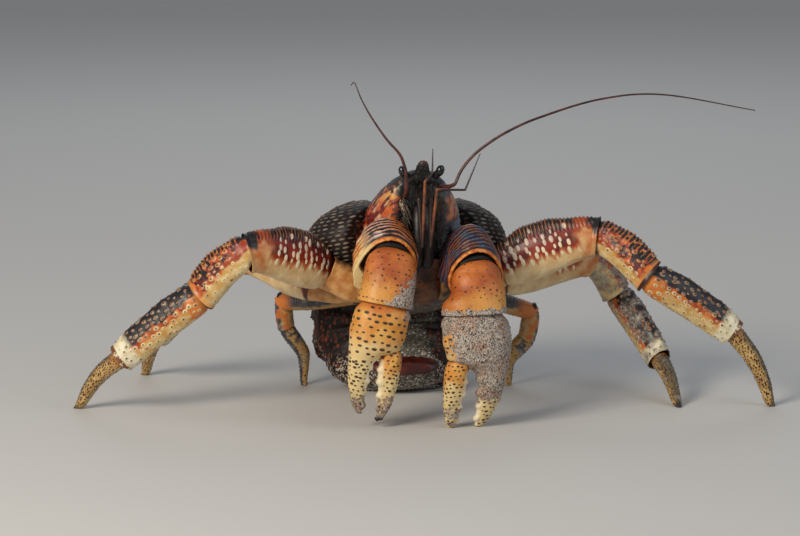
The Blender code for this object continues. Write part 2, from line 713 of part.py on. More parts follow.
def claw_carpus(side_name, side, claw, rim, forward):
    """Wrist of a claw, from inside the arm's rim down to the hand."""
    wrist = vector(claw["wrist"], side)
    rings = []
    stations = [(Vector((x * side, y, z)), width, depth) for x, y, z, width, depth in CARPUS_ARCH[side_name]]
    end_width, end_depth = CARPUS_END
    stations.append((wrist / MM, end_width * claw["breadth"], end_depth * claw["breadth"] ** 0.5))
    along = (stations[-1][0] - stations[1][0]).normalized()
    stations.append((wrist / MM + along * 8, 0.87 * end_width * claw["breadth"], 0.87 * end_depth))
    for row, (centre, half_width, half_depth) in enumerate(stations):
        way = stations[min(row + 1, len(stations) - 1)][0] - stations[max(row - 1, 0)][0]
        way.normalize()
        front = (Vector((0, -1, 0)) - way * (-way.y)).normalized()
        across = way.cross(front).normalized()
        rings.append(ring(centre * MM, across, front, half_width, half_depth, 16, square=2.3))
    piece = loft(f"claw_{side_name}_carpus", rings)
    cut(piece, rim, -forward)
    return piece, wrist


def hand_frame(side, claw):
    """Axes of a hand: down the palm, outward, and forward to the back of the hand."""
    lean, forward = math.radians(claw["lean"]), math.radians(claw["forward"])
    fall = math.cos(lean) * math.cos(forward)
    down = Vector((side * math.sin(lean), -math.sin(forward), -fall)).normalized()
    out = (Vector((side, 0, 0)) - down * down.x * side).normalized()
    front = out.cross(down).normalized() * side
    if front.y > 0:
        front = -front
    return down, out, front


def hand_rings(side, claw, wrist, stations, sides, scale, toothed):
    """Rings down a finger, with teeth on the points of each ring that are named in toothed."""
    down, out, front = hand_frame(side, claw)
    rings = []
    for row, (distance, shift, breadth, depth) in enumerate(stations):
        past = max(0.0, distance - FINGER_ROOT) / (FINGER_END - FINGER_ROOT)
        centre = wrist + (down * distance * claw["length"] + out * shift * claw["breadth"]) * MM
        centre -= front * claw["curl"] * past**1.6 * MM
        tooth = FINGER_TOOTH * 2 if row % 2 else 0
        rings.append(
            ring(
                centre, out * side, front, breadth * scale, depth * scale**0.6, sides, 2.3, 0.0,
                rise=lambda k, row=row, tooth=tooth: tooth if k in toothed else KNOB_RISE * ((k + row) % 2),
            )
        )
    return rings


def claw_hand(side_name, side, claw, wrist, wrist_way):
    """Palm with the fixed finger, and the moving finger hinged at its inner corner."""
    toward_middle = (7, 8, 9) if side > 0 else (15, 0, 1)
    broad = claw["breadth"]
    rows = hand_rings(side, claw, wrist, PALM_SHAPE + FIXED_FINGER, 16, broad, toward_middle)
    palm = loft(f"claw_{side_name}_palm", rows)
    cut(palm, wrist, -wrist_way)
    cut(palm, (0, 0, 0), (0, 0, -1), gap=0)
    away = (11, 0, 1) if side > 0 else (5, 6, 7)
    rows = hand_rings(side, claw, wrist, MOVING_FINGER, 12, claw["finger"], away)
    finger = loft(f"claw_{side_name}_finger", rows)
    cut(finger, (0, 0, 0), (0, 0, -1), gap=0)
    return palm, finger


def claw_limb(side_name, side, body):
    claw = CLAW[side_name]
    socket = vector(SOCKETS["claw"], side)
    merus, rim, forward = claw_merus(side_name, side, claw)
    carpus, wrist = claw_carpus(side_name, side, claw, rim, forward)
    down = hand_frame(side, claw)[0]
    cut(carpus, wrist, down)
    palm, finger = claw_hand(side_name, side, claw, wrist, down)
    path = [socket + vector(p, side) for p in CLAW_BASE_PATH]
    base = tube(f"claw_{side_name}_base", path, CLAW_BASE_RADII, 12, 1.0, Vector((0, 1, 0.3)))
    carve(base, *body)
    carve(merus, *body, base)
    carve(finger, palm)
    return [base, merus, carpus, palm, finger]


# Build


def build():
    for old in list(bpy.data.objects):
        bpy.data.objects.remove(old)
    sides = (("left", 1), ("right", -1))
    nodes = []

    def keep(piece, colour, roughness=0.45):
        nodes.append(piece)
        finish(piece, COLOURS[colour], roughness)
        return piece

    head = keep(head_shield(), "body", 0.35)
    rear = keep(rear_shield(), "body", 0.4)
    thorax = keep(thorax_base(), "leg", 0.5)
    covers = [keep(gill_cover(name, side), "body", 0.4) for name, side in sides]
    belly = abdomen()
    carve(belly, thorax, rear, *covers)
    keep(belly, "rear", 0.6)
    fan = tail_fan()
    carve(fan, belly)
    keep(fan, "merus", 0.4)
    mouth = []
    for name, side in sides:
        eyeball = keep(eye(name, side), "eye", 0.1)
        stalk = eyestalk(name, side)
        carve(stalk, eyeball, head)
        keep(stalk, "body")
        feeler_root = peduncle(name)
        carve(feeler_root, head, eyeball, stalk)
        keep(feeler_root, "merus")
        mouth_leg = maxilliped(name, side)
        carve(mouth_leg, head, thorax)
        mouth.append(keep(mouth_leg, "feeler", 0.2))
        small_feeler = antennule(name)
        carve(small_feeler, head)
        keep(small_feeler, "claw")
        first, second = whip_lengths(name)
        carve(first, feeler_root)
        keep(first, "feeler")
        keep(second, "feeler")
    trunk = [thorax, head, *covers, *mouth]
    for name, side in sides:
        for piece, colour in zip(claw_limb(name, side, trunk), ("leg", "claw", "claw", "hand", "hand")):
            keep(piece, colour)
        for leg in ("leg2", "leg3"):
            pieces = walking_leg(leg, name, side)
            for piece in pieces[:2]:
                carve(piece, thorax, *covers)
            for piece, colour in zip(pieces, ("leg", "merus", "leg", "propodus", "dactyl")):
                keep(piece, colour)
        arm, wrist, hand = fourth_leg(name, side)
        carve(arm, thorax, belly, *covers)
        for piece, colour in ((arm, "rear"), (wrist, "leg"), (hand, "dactyl")):
            keep(piece, colour)
    corners = [v.co for piece in nodes for v in piece.data.vertices]
    middle = [(min(c[i] for c in corners) + max(c[i] for c in corners)) / 2 for i in (0, 1)]
    for piece in nodes:
        for vertex in piece.data.vertices:
            vertex.co -= Vector((*middle, 0))


build()
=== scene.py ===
import math
import time

import bpy
import numpy as np
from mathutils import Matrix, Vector, kdtree
from mathutils.bvhtree import BVHTree


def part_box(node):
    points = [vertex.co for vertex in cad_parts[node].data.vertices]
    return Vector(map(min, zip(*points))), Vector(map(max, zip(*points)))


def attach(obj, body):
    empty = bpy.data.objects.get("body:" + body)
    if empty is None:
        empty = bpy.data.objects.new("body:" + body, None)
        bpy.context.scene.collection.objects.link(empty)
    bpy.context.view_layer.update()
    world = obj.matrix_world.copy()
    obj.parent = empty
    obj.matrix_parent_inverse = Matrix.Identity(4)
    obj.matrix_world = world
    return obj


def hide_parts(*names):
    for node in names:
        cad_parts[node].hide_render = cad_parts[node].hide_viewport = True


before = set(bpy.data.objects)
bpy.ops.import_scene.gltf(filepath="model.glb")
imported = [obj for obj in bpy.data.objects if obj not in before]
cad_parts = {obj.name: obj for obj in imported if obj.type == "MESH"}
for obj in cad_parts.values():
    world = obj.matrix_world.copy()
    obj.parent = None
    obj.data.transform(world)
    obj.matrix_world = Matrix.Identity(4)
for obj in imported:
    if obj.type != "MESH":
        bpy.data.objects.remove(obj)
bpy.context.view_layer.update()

started = time.time()
mm = 0.001
finest = 0.78
fine = finest  # how far apart the points of a shell stand, in mm
dice = np.random.default_rng(17)

# The crab's own frame, in mm: x towards its left side, y to its rear, z up from the floor
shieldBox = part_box("head_shield")
rostrumReach = 61  # how far the tip of the rostrum stands in front of the frame's middle
bodyPlace = np.array(((shieldBox[0].x + shieldBox[1].x) / 2, shieldBox[0].y + rostrumReach * mm, 0))
upward = np.array((0.0, 0.0, 1.0))
forwards = np.array((0.0, -1.0, 0.0))
sides = (("left", 1), ("right", -1))


def report(stage):
    print(f"{stage}, {time.time() - started:.0f} s")


def unit(v):
    v = np.asarray(v, float)
    return v / np.linalg.norm(v)


def heading(yaw, pitch, side):
    yaw, pitch = math.radians(yaw), math.radians(pitch)
    level = math.cos(pitch)
    return np.array((side * level * math.cos(yaw), -level * math.sin(yaw), math.sin(pitch)))


def eased(low, high, value):
    t = np.clip((value - low) / (high - low), 0, 1)
    return t * t * (3 - 2 * t)


def mirrored(point, side):
    return np.array((point[0] * side, point[1], point[2]), float)


# Stage, light and camera

studio = {
    "floor": (0.58, 0.57, 0.55), "floorSize": 12.0, "sky": (0.60, 0.64, 0.70), "skyLight": 0.42,
    "aim": (0, 0, 0.12),
    "lights": {  # place, size, power and colour
        "keyLight": ((-1.5, -1.5, 1.2), 0.8, 44, (1.0, 0.9, 0.76)),
        "fillLight": ((1.7, -1.6, 1.5), 1.6, 12, (0.82, 0.9, 1.0)),
        "rimLight": ((0.3, 1.9, 1.7), 1.4, 8, (0.95, 0.97, 1.0)),
    },
    "lens": 156.977, "camera": (-469.145, -2896.095, 637.737), "azimuth": -9, "elevation": 10,
}


def setFloor():
    bpy.ops.mesh.primitive_plane_add(size=studio["floorSize"], location=(0, 0, -0.0002))
    floor = bpy.context.object
    floor.name = "floor"
    bpy.ops.object.transform_apply(location=True)
    paint = bpy.data.materials.new("floor")
    paint.use_nodes = True
    shader = paint.node_tree.nodes["Principled BSDF"]
    shader.inputs["Base Color"].default_value = (*studio["floor"], 1)
    shader.inputs["Roughness"].default_value = 0.9
    floor.data.materials.append(paint)


def setLights():
    world = bpy.data.worlds.new("sky")
    bpy.context.scene.world = world
    world.use_nodes = True
    sky = world.node_tree.nodes["Background"]
    sky.inputs["Color"].default_value = (*studio["sky"], 1)
    sky.inputs["Strength"].default_value = studio["skyLight"]
    for name, (place, size, power, colour) in studio["lights"].items():
        bpy.ops.object.light_add(type="AREA", location=place)
        lamp = bpy.context.object
        lamp.name = name
        lamp.data.size = size
        lamp.data.energy = power
        lamp.data.color = colour
        lamp.rotation_euler = (Vector(studio["aim"]) - Vector(place)).to_track_quat("-Z", "Y").to_euler()


def setCamera():
    azimuth, elevation = math.radians(studio["azimuth"]), math.radians(studio["elevation"])
    level = math.cos(elevation)
    back = Vector((math.sin(azimuth) * level, -math.cos(azimuth) * level, math.sin(elevation)))
    bpy.ops.object.camera_add(location=np.array(studio["camera"]) * mm + bodyPlace)
    camera = bpy.context.object
    camera.data.lens = studio["lens"]
    camera.data.sensor_width = 36
    camera.rotation_euler = (-back).to_track_quat("-Z", "Y").to_euler()
    bpy.context.scene.camera = camera
    bpy.context.scene.view_settings.view_transform = "Standard"


setFloor()
setLights()
setCamera()
report("stage, light and camera set")


# Paints

jointSkin = "120c0b"  # the skin inside a joint


def tint(code):  # a screen colour in hexadecimal as the shader's linear one
    parts = [int(code[k:k + 2], 16) / 255 for k in (0, 2, 4)]
    return tuple(p / 12.92 if p <= 0.04045 else ((p + 0.055) / 1.055) ** 2.4 for p in parts)


class Wire:
    def __init__(self, paint, socket):
        self.paint, self.socket = paint, socket

    def maths(self, operation, *values):
        node = self.paint.node("ShaderNodeMath", {"operation": operation}, dict(enumerate(values)))
        return Wire(self.paint, node.outputs[0])

    def __add__(self, other):
        return self.maths("ADD", self, other)

    def __radd__(self, other):
        return self.maths("ADD", other, self)

    def __sub__(self, other):
        return self.maths("SUBTRACT", self, other)

    def __rsub__(self, other):
        return self.maths("SUBTRACT", other, self)

    def __mul__(self, other):
        return self.maths("MULTIPLY", self, other)

    def __rmul__(self, other):
        return self.maths("MULTIPLY", other, self)

    def fraction(self):
        return self.maths("FRACT", self)

    def size(self):
        return self.maths("ABSOLUTE", self)

    def band(self, low, high):  # 0 below low and 1 above high, eased between; turned round if low > high
        if low > high:
            return 1 - self.band(high, low)
        node = self.paint.node(
            "ShaderNodeMapRange", {"interpolation_type": "SMOOTHSTEP"}, {0: self, 1: low, 2: high})
        return Wire(self.paint, node.outputs[0])


class Paint:
    def __init__(self, name, roughness=0.42, coat=0.12, specular=0.5):
        self.material = bpy.data.materials.new(name)
        self.material.use_nodes = True
        self.tree = self.material.node_tree
        self.shader = self.tree.nodes["Principled BSDF"]
        uniform = {
            "Roughness": roughness, "Coat Weight": coat, "Coat Roughness": 0.22,
            "Specular IOR Level": specular,
        }
        for socket, value in uniform.items():
            self.shader.inputs[socket].default_value = value

    def node(self, kind, settings, values):
        node = self.tree.nodes.new(kind)
        for key, value in settings.items():
            setattr(node, key, value)
        for key, value in values.items():
            self.feed(node.inputs[key], value)
        return node

    def feed(self, socket, value):  # a colour is given by its code
        if isinstance(value, Wire):
            self.tree.links.new(value.socket, socket)
        elif socket.type == "RGBA":
            socket.default_value = (*tint(value), 1)
        else:
            socket.default_value = value

    def number(self, name):
        return Wire(self, self.node("ShaderNodeAttribute", {"attribute_name": name}, {}).outputs["Fac"])

    def place(self, stretch=(1, 1, 1), frameName="local"):  # where on the piece, in mm, in its own frame
        source = self.node("ShaderNodeAttribute", {"attribute_name": frameName}, {}).outputs["Vector"]
        values = {0: Wire(self, source), 1: stretch}
        return Wire(self, self.node("ShaderNodeVectorMath", {"operation": "MULTIPLY"}, values).outputs[0])

    def axes(self):
        parts = self.node("ShaderNodeSeparateXYZ", {}, {0: self.place()})
        return [Wire(self, parts.outputs[k]) for k in range(3)]

    def noise(self, size, detail=2.0, stretch=(1, 1, 1), frameName="local"):  # 0 to 1, size in mm
        node = self.node("ShaderNodeTexNoise", {}, {
            "Vector": self.place(stretch, frameName), "Scale": 1 / size, "Detail": detail})
        return Wire(self, node.outputs[0])

    def cloud(self, size, low, high, detail=3.0, stretch=(1, 1, 1), frameName="local"):
        return self.noise(size, detail, stretch, frameName).band(low, high)

    def shaken(self, value, amount, size, detail=2.0):
        return value + (self.noise(size, detail) - 0.5) * amount

    def grains(self, size):  # a random number for each grain, and how near its middle is
        node = self.node("ShaderNodeTexVoronoi", {}, {"Vector": self.place(), "Scale": 1 / size})
        part = self.node("ShaderNodeSeparateColor", {}, {0: Wire(self, node.outputs["Color"])})
        return Wire(self, part.outputs[0]), Wire(self, node.outputs["Distance"])

    def blend(self, share, low, high):
        node = self.node("ShaderNodeMix", {"data_type": "RGBA"}, {0: share, 6: low, 7: high})
        return Wire(self, node.outputs[2])

    def mottled(self, first, second, size, low=0.3, high=0.7, detail=3.0, stretch=(1, 1, 1)):
        return self.blend(self.cloud(size, low, high, detail, stretch), first, second)

    def layered(self, colour, *layers):  # for each layer how much of it covers, and its colour
        for share, layer in layers:
            colour = self.blend(share, colour, layer)
        return colour

    def finish(self, colour, grain=0.9, depth=0.12, detail=3.0, roughness=None, skin=None):
        # grain is how wide the finest relief is and depth how high, in mm; skin is the colour inside a joint
        if skin:
            colour = self.blend(self.number("lid"), colour, skin)
        bump = self.node("ShaderNodeBump", {}, {
            "Strength": 0.5, "Distance": depth * mm, "Height": self.noise(grain, detail)})
        self.feed(self.shader.inputs["Base Color"], colour)
        if roughness is not None:
            self.feed(self.shader.inputs["Roughness"], roughness)
        self.feed(self.shader.inputs["Normal"], Wire(self, bump.outputs[0]))
        return self.material


# Shells: the solids' own surfaces, rounded, with relief and the numbers that the paints read

noiseCells = 32
noiseTable = dice.random((noiseCells, noiseCells, noiseCells))


def softNoise(points, size):
    spot = points / size + 7.3
    whole = np.floor(spot).astype(int)
    part = spot - whole
    part = part * part * (3 - 2 * part)
    total = 0
    for corner in np.ndindex(2, 2, 2):
        weight = np.prod([part[:, k] if corner[k] else 1 - part[:, k] for k in range(3)], axis=0)
        cell = (whole + corner) % noiseCells
        total = total + weight * noiseTable[cell[:, 0], cell[:, 1], cell[:, 2]]
    return total


def roughNoise(points, size):  # between -0.5 and 0.5
    broad, middle, small = (softNoise(points, size / split) for split in (1, 2.1, 4.3))
    return broad * 0.6 + middle * 0.27 + small * 0.13 - 0.5


def triples(items, field, kind=float):
    flat = np.empty(len(items) * 3, np.int32 if kind is int else np.float32)
    items.foreach_get(field, flat)
    return flat.reshape(-1, 3).astype(kind)


def treeOf(places):
    tree = kdtree.KDTree(len(places))
    for k, place in enumerate(places):
        tree.insert(place, k)
    tree.balance()
    return tree


def pickOnly(piece):
    bpy.ops.object.select_all(action="DESELECT")
    piece.select_set(True)
    bpy.context.view_layer.objects.active = piece


def addBall(segments, rings):
    bpy.ops.object.select_all(action="DESELECT")
    bpy.ops.mesh.primitive_uv_sphere_add(segments=segments, ring_count=rings, radius=1, location=(0, 0, 0))
    return bpy.context.object


class Cad:
    def __init__(self, node, ends):
        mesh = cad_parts[node].data
        self.points = (triples(mesh.vertices, "co") - bodyPlace) / mm
        mesh.calc_loop_triangles()
        faces = triples(mesh.loop_triangles, "vertices", int)
        self.tree = BVHTree.FromPolygons(self.points.tolist(), faces.tolist())
        self.ends = ends

    def reach(self, centre, way, far=90.0):  # how far the side is from a point inside; None at a cut end
        hit = self.tree.ray_cast(Vector(centre + way * far), Vector(-way), far)
        if hit[0] is None or any(abs(hit[1] @ end) > 0.985 for end in self.ends):
            return None
        return far - hit[3]


class Shell:
    def __init__(self, name, piece, nodes):
        self.piece, self.nodes = piece, nodes
        piece.name = name
        self.read()

    def read(self):
        mesh = self.piece.data
        mesh.update()
        self.points = triples(mesh.vertices, "co")
        self.normals = triples(mesh.vertex_normals, "vector")

    def write(self, points):
        self.piece.data.vertices.foreach_set("co", points.astype(np.float32).ravel())
        self.read()

    def lay(self, points):  # the shell before its relief, where its patterns keep their place
        self.write(points)
        self.marks = {"local": self.points.copy()}

    def raiseBy(self, height):
        self.write(self.points + self.normals * height[:, None])

    def finish(self, material, slot):
        mesh = self.piece.data
        self.points[:, 2] = np.maximum(self.points[:, 2], 0.15)
        self.write(self.points * mm + bodyPlace)
        for name, values in self.marks.items():
            kind, field = ("FLOAT_VECTOR", "vector") if np.ndim(values) == 2 else ("FLOAT", "value")
            mark = mesh.attributes.new(name, kind, "POINT")
            mark.data.foreach_set(field, np.asarray(values, np.float32).ravel())
        mesh.shade_smooth()
        mesh.materials.clear()
        mesh.materials.append(material)
        mesh.update()
        if self.nodes:
            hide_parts(*self.nodes)
        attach(self.piece, "root")


def skinOf(name, nodes, grid):
    # a round ball whose rings and segments are drawn out over the rows of the grid
    rings, columns = len(grid) - 1, grid.shape[1]
    shell = Shell(name, addBall(columns, rings), nodes)
    ball = shell.points
    row = np.rint(np.arccos(np.clip(ball[:, 2], -1, 1)) / math.pi * rings).astype(int)
    column = np.rint(np.arctan2(ball[:, 1], ball[:, 0]) / math.tau * columns).astype(int) % columns
    shell.lay(grid[row, column])
    if ((shell.points - shell.points.mean(0)) * shell.normals).sum() < 0:
        shell.piece.data.flip_normals()
        shell.read()
    return shell, row, column


def lineFit(given, wanted, width):
    # weights of a line fitted about each place: it rounds facets off and keeps the ends where they are
    gap = given[None, :] - wanted[:, None]
    weight = np.exp(-(gap / width) ** 2 / 2) + 1e-9
    s0, s1, s2 = weight.sum(1), (weight * gap).sum(1), (weight * gap ** 2).sum(1)
    return weight * (s2[:, None] - s1[:, None] * gap) / (s0 * s2 - s1 ** 2)[:, None]


# Rows that close a length of limb: share of the rim's width, and how far past it in mm
ballEnd = (
    (0.2, -7.4), (0.4, -6.9), (0.56, -6.1), (0.7, -5.0), (0.8, -3.9), (0.87, -2.8), (0.93, -1.7),
    (0.97, -0.8))
cupEnd = (
    (0.995, 0.35), (0.975, 0.6), (0.95, 0.6), (0.93, 0.3), (0.918, -0.4), (0.91, -1.4), (0.9, -2.6),
    (0.88, -4.0), (0.8, -5.4), (0.65, -6.2), (0.45, -6.6), (0.22, -6.8))
tipEnd = ((0.97, 0.2), (0.9, 0.5), (0.78, 0.8), (0.6, 1.1), (0.4, 1.3), (0.2, 1.4))
flatStart = ((0.2, 0), (0.4, 0), (0.6, 0), (0.8, 0), (0.92, 0))


class Limb:
    def __init__(
            self, node, start, end, up, side=1, startWay=None, endWay=None, width=3.0, harmonics=7, degree=4):
        cad = Cad(node, [Vector(way) for way in (startWay, endWay) if way is not None])
        self.node, self.start = node, np.asarray(start, float)
        span = np.asarray(end, float) - self.start
        self.length = float(np.linalg.norm(span))
        self.axis = span / self.length
        self.up = unit(up - self.axis * (up @ self.axis))
        self.front = np.cross(self.axis, self.up) * side
        run = (cad.points - self.start) @ self.axis
        self.first, self.last = run.min() + 0.4, run.max() - 0.4
        stations = np.linspace(self.first, self.last, max(12, int((self.last - self.first) / 2)))
        self.spine = ((0.0,), (0.0,))
        self.seen = (self.first, self.last)
        self.findSpine(cad, stations, degree)
        self.findRadii(cad, stations, width, harmonics)
        self.low = self.endRow(0.0, startWay, self.first)
        self.high = self.endRow(self.length, endWay, self.last)

    def centre(self, s):
        s = np.asarray(s, float)
        held = np.clip(s, *self.seen)
        lift, shift = (np.polyval(row, held)[..., None] for row in self.spine)
        return self.start + s[..., None] * self.axis + lift * self.up + shift * self.front

    def findSpine(self, cad, stations, degree):
        found, centre = [], np.zeros(2)
        for s in stations:
            trial, seen = centre.copy(), False
            for _ in range(3):
                base = self.start + self.axis * s + self.up * trial[0] + self.front * trial[1]
                for n, way in enumerate((self.up, self.front)):
                    plus, minus = cad.reach(base, way), cad.reach(base, -way)
                    if plus is not None and minus is not None:
                        trial[n] += (plus - minus) / 2
                        seen = True
            if seen:
                centre = trial
                found.append((s, *trial))
        found = np.array(found)
        self.spine = tuple(np.polyfit(found[:, 0], found[:, n], degree) for n in (1, 2))
        self.seen = (found[0, 0], found[-1, 0])

    def findRadii(self, cad, stations, width, harmonics, sectors=36):
        radii = np.full((len(stations), sectors), np.nan)
        for k, s in enumerate(stations):
            base = self.centre(s)
            for j in range(sectors):
                angle = math.tau * j / sectors
                found = cad.reach(base, self.up * math.cos(angle) + self.front * math.sin(angle))
                if found is not None and found > 0.3:
                    radii[k, j] = found
        for j in range(sectors):
            good = ~np.isnan(radii[:, j])
            filled = np.interp(stations, stations[good], radii[good, j]) if good.any() else np.nanmean(radii)
            radii[:, j] = filled
        self.stations = np.linspace(self.first, self.last, max(24, int((self.last - self.first) / 0.5)))
        waves = np.fft.rfft(lineFit(stations, self.stations, width) @ radii, axis=1)
        waves[:, harmonics + 1:] = 0
        self.columns = int(max(20, math.tau * np.median(radii) * 1.03 / fine)) // 2 * 2
        padded = np.zeros((len(waves), self.columns // 2 + 1), complex)
        kept = min(waves.shape[1], padded.shape[1])
        padded[:, :kept] = waves[:, :kept]
        self.radii = np.fft.irfft(padded, n=self.columns, axis=1) * self.columns / sectors
        self.angles = math.tau * np.arange(self.columns) / self.columns
        self.ways = self.up * np.cos(self.angles)[:, None] + self.front * np.sin(self.angles)[:, None]

    def radius(self, s):  # s has a value for each column in its last place
        row = np.clip((s - self.first) / (self.last - self.first), 0, 1) * (len(self.stations) - 1)
        low = np.minimum(row.astype(int), len(self.stations) - 2)
        column = np.arange(self.columns)
        part = row - low
        return self.radii[low, column] * (1 - part) + self.radii[low + 1, column] * part

    def surface(self, s, swell=1.0):
        return self.centre(s) + self.ways * (self.radius(s) * swell)[..., None]

    def endRow(self, mark, way, otherwise):  # where each column meets the plane between two lengths
        if way is None:
            return np.full(self.columns, otherwise)
        s = np.full(self.columns, float(mark))
        plane = self.start + self.axis * mark
        for _ in range(8):
            s = s - (self.surface(s) - plane) @ way / (self.axis @ way)
            s = np.clip(s, self.first - 2, self.last + 2)
        return s

    def build(self, nearEnd=ballEnd, farEnd=cupEnd, neck=0.86, neckRun=7.0, flare=0.4):
        rows = max(8, int(np.mean(self.high - self.low) / fine))
        share = np.linspace(0, 1, rows)[:, None]
        s = self.low * (1 - share) + self.high * share
        swell = neck + (1 - neck) * eased(0, neckRun, s - self.low)
        swell = swell + flare * eased(-4, 0, s - self.high) / np.maximum(self.radius(s), 1)
        skin = self.surface(s, swell)
        near = ((0, nearEnd[0][1]), *nearEnd)
        far = (*farEnd, (0, farEnd[-1][1]))
        lids = []
        for rim, closing in ((skin[0], near), (skin[-1], far)):
            middle = rim.mean(0)
            lids.append([middle + (rim - middle) * k + self.axis * push for k, push in closing])
        runs = np.array([s[0]] * len(near) + [*s] + [s[-1]] * len(far))
        dark = [1.0] + [push < -0.5 for _, push in nearEnd] + [0.0] * rows + [push < -0.2 for _, push in far]
        grid = np.array([*lids[0], *skin, *lids[1]])
        shell, row, column = skinOf(self.node + "_shell", [self.node], grid)
        shell.limb = self
        shell.run, shell.angle = runs[row, column], self.angles[column]
        shell.lid = np.array(dark, float)[row]
        shell.fromRim = self.high[column] - shell.run
        shell.fromNeck = shell.run - self.low[column]
        offset = shell.points - self.start
        shell.marks = {
            "along": np.clip(shell.run / self.length, 0, 1), "dorsal": np.cos(shell.angle), "lid": shell.lid,
            "local": np.stack([offset @ self.axis, offset @ self.up, offset @ self.front], axis=1),
        }
        return shell


def cadShell(node, voxel, rounds):
    # a copy of a node, merged, remade with even faces and smoothed
    name = node + "_shell"
    copy = bpy.data.objects.new(name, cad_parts[node].data.copy())
    bpy.context.scene.collection.objects.link(copy)
    pickOnly(copy)
    bpy.ops.object.mode_set(mode="EDIT")
    bpy.ops.mesh.select_all(action="SELECT")
    bpy.ops.mesh.remove_doubles(threshold=1e-6)
    bpy.ops.object.mode_set(mode="OBJECT")
    even = copy.modifiers.new("even", "REMESH")
    even.mode = "VOXEL"
    even.voxel_size = voxel * fine / finest * mm
    soften = copy.modifiers.new("soften", "SMOOTH")
    soften.factor = 0.5
    soften.iterations = int(rounds * (finest / fine) ** 2)
    for modifier in ("even", "soften"):
        bpy.ops.object.modifier_apply(modifier=modifier)
    shell = Shell(name, copy, [node])
    shell.lay((shell.points - bodyPlace) / mm)
    return shell


def straight(points, count):  # evenly spread places on the straight runs between the points
    points = np.asarray(points, float)
    far = np.concatenate([[0], np.cumsum(np.linalg.norm(np.diff(points, axis=0), axis=1))])
    wanted = np.linspace(0, far[-1], count)
    return np.stack([np.interp(wanted, far, points[:, k]) for k in range(3)], axis=1), far, wanted


def curved(points, count):  # evenly spread places on the smooth curve through the points
    points = np.asarray(points, float)
    ends = np.vstack([points[0] * 2 - points[1], points, points[-1] * 2 - points[-2]])
    t = np.linspace(0, 1, 24, endpoint=False)[:, None]
    runs = []
    for a, b, c, d in zip(ends, ends[1:], ends[2:], ends[3:]):
        bend, twist = a * 2 - b * 5 + c * 4 - d, b * 3 - a - c * 3 + d
        runs.append((b * 2 + (c - a) * t + bend * t * t + twist * t ** 3) / 2)
    path, _, wanted = straight(np.vstack([*runs, points[-1:]]), count)
    return path, wanted


def tubeShell(node, path, radii, sectors, up, flatten=1.0, dresses=True):
    # a round length along a path; radii has one value in mm for each point of the path
    grid = []
    up = unit(up)
    angles = math.tau * np.arange(sectors) / sectors
    rise, reach = np.cos(angles)[:, None], flatten * np.sin(angles)[:, None]
    for k, centre in enumerate(path):
        along = unit(path[min(k + 1, len(path) - 1)] - path[max(k - 1, 0)])
        up = unit(up - along * (up @ along))
        grid.append(centre + radii[k] * (rise * up + reach * np.cross(along, up)))
    grid = np.array([np.tile(path[0], (sectors, 1)), *grid, np.tile(path[-1], (sectors, 1))])
    shell, row, _ = skinOf(node + "_shell", [node] if dresses else [], grid)
    shell.share = np.clip((row - 1) / (len(path) - 1), 0, 1)
    return shell


# Relief

def spots(shell, centres, size, spread=0.0, axes=((1, 0, 0), (0, 1, 0), (0, 0, 1))):
    # marks for each point its nearest spot: how far its edge is (1 is on it), a random number and a lean
    axes, size = np.array(axes), np.array(size, float)
    sizes = 1 + spread * (dice.random(len(centres)) * 2 - 1)
    tones = dice.random(len(centres))
    seeds = centres @ axes.T / size
    tree = treeOf(seeds)
    turned = shell.points @ axes.T / size
    index, gap = np.empty(len(turned), int), np.empty(len(turned))
    for k, place in enumerate(turned):
        _, index[k], gap[k] = tree.find(place)
    gap = np.minimum(gap / sizes[index], 9)
    lean = (turned[:, 0] - seeds[index, 0]) / sizes[index]
    shell.marks.update({"spot": gap, "tone": tones[index], "lean": lean})
    return gap, lean


def limbSpots(shell, centres, size, spread=0.25):
    return spots(shell, centres, size, spread, (shell.limb.axis, shell.limb.up, shell.limb.front))


def rowsOn(shell, alongStep, aroundStep, low, high, arc=(-180, 180), jitter=0.18):
    limb, centres = shell.limb, []
    for k, s in enumerate(np.arange(low, high, alongStep)):
        around = float(np.mean(limb.radius(np.full(limb.columns, s)))) * math.tau
        count = max(3, round(around / aroundStep))
        for m in range(count):
            shift = dice.uniform(-jitter, jitter, 2)
            angle = (math.tau * (m + 0.5 * (k % 2) + shift[0]) / count + math.pi) % math.tau - math.pi
            if arc[0] <= math.degrees(angle) <= arc[1]:
                column = round(angle / math.tau * limb.columns) % limb.columns
                surface = limb.surface(np.full(limb.columns, s + shift[1] * alongStep))
                centres.append(surface[column])
    return np.array(centres)


def thrown(shell, spacing, where=None, tries=9000):
    # places strewn over a shell, no two nearer than the spacing
    allowed = np.arange(len(shell.points)) if where is None else np.flatnonzero(where)
    kept, taken = [], {}
    for k in dice.permutation(allowed)[:tries]:
        place = shell.points[k]
        cell = (place // spacing).astype(int)
        around = [taken.get(tuple(cell + corner - 1)) for corner in np.ndindex(3, 3, 3)]
        if all(other is None or np.linalg.norm(other - place) >= spacing for other in around):
            taken[tuple(cell)] = place
            kept.append(place)
    return np.array(kept)


def dome(gap, sharp=1.2):
    return np.clip(1 - gap ** 2, 0, 1) ** sharp


# Legs

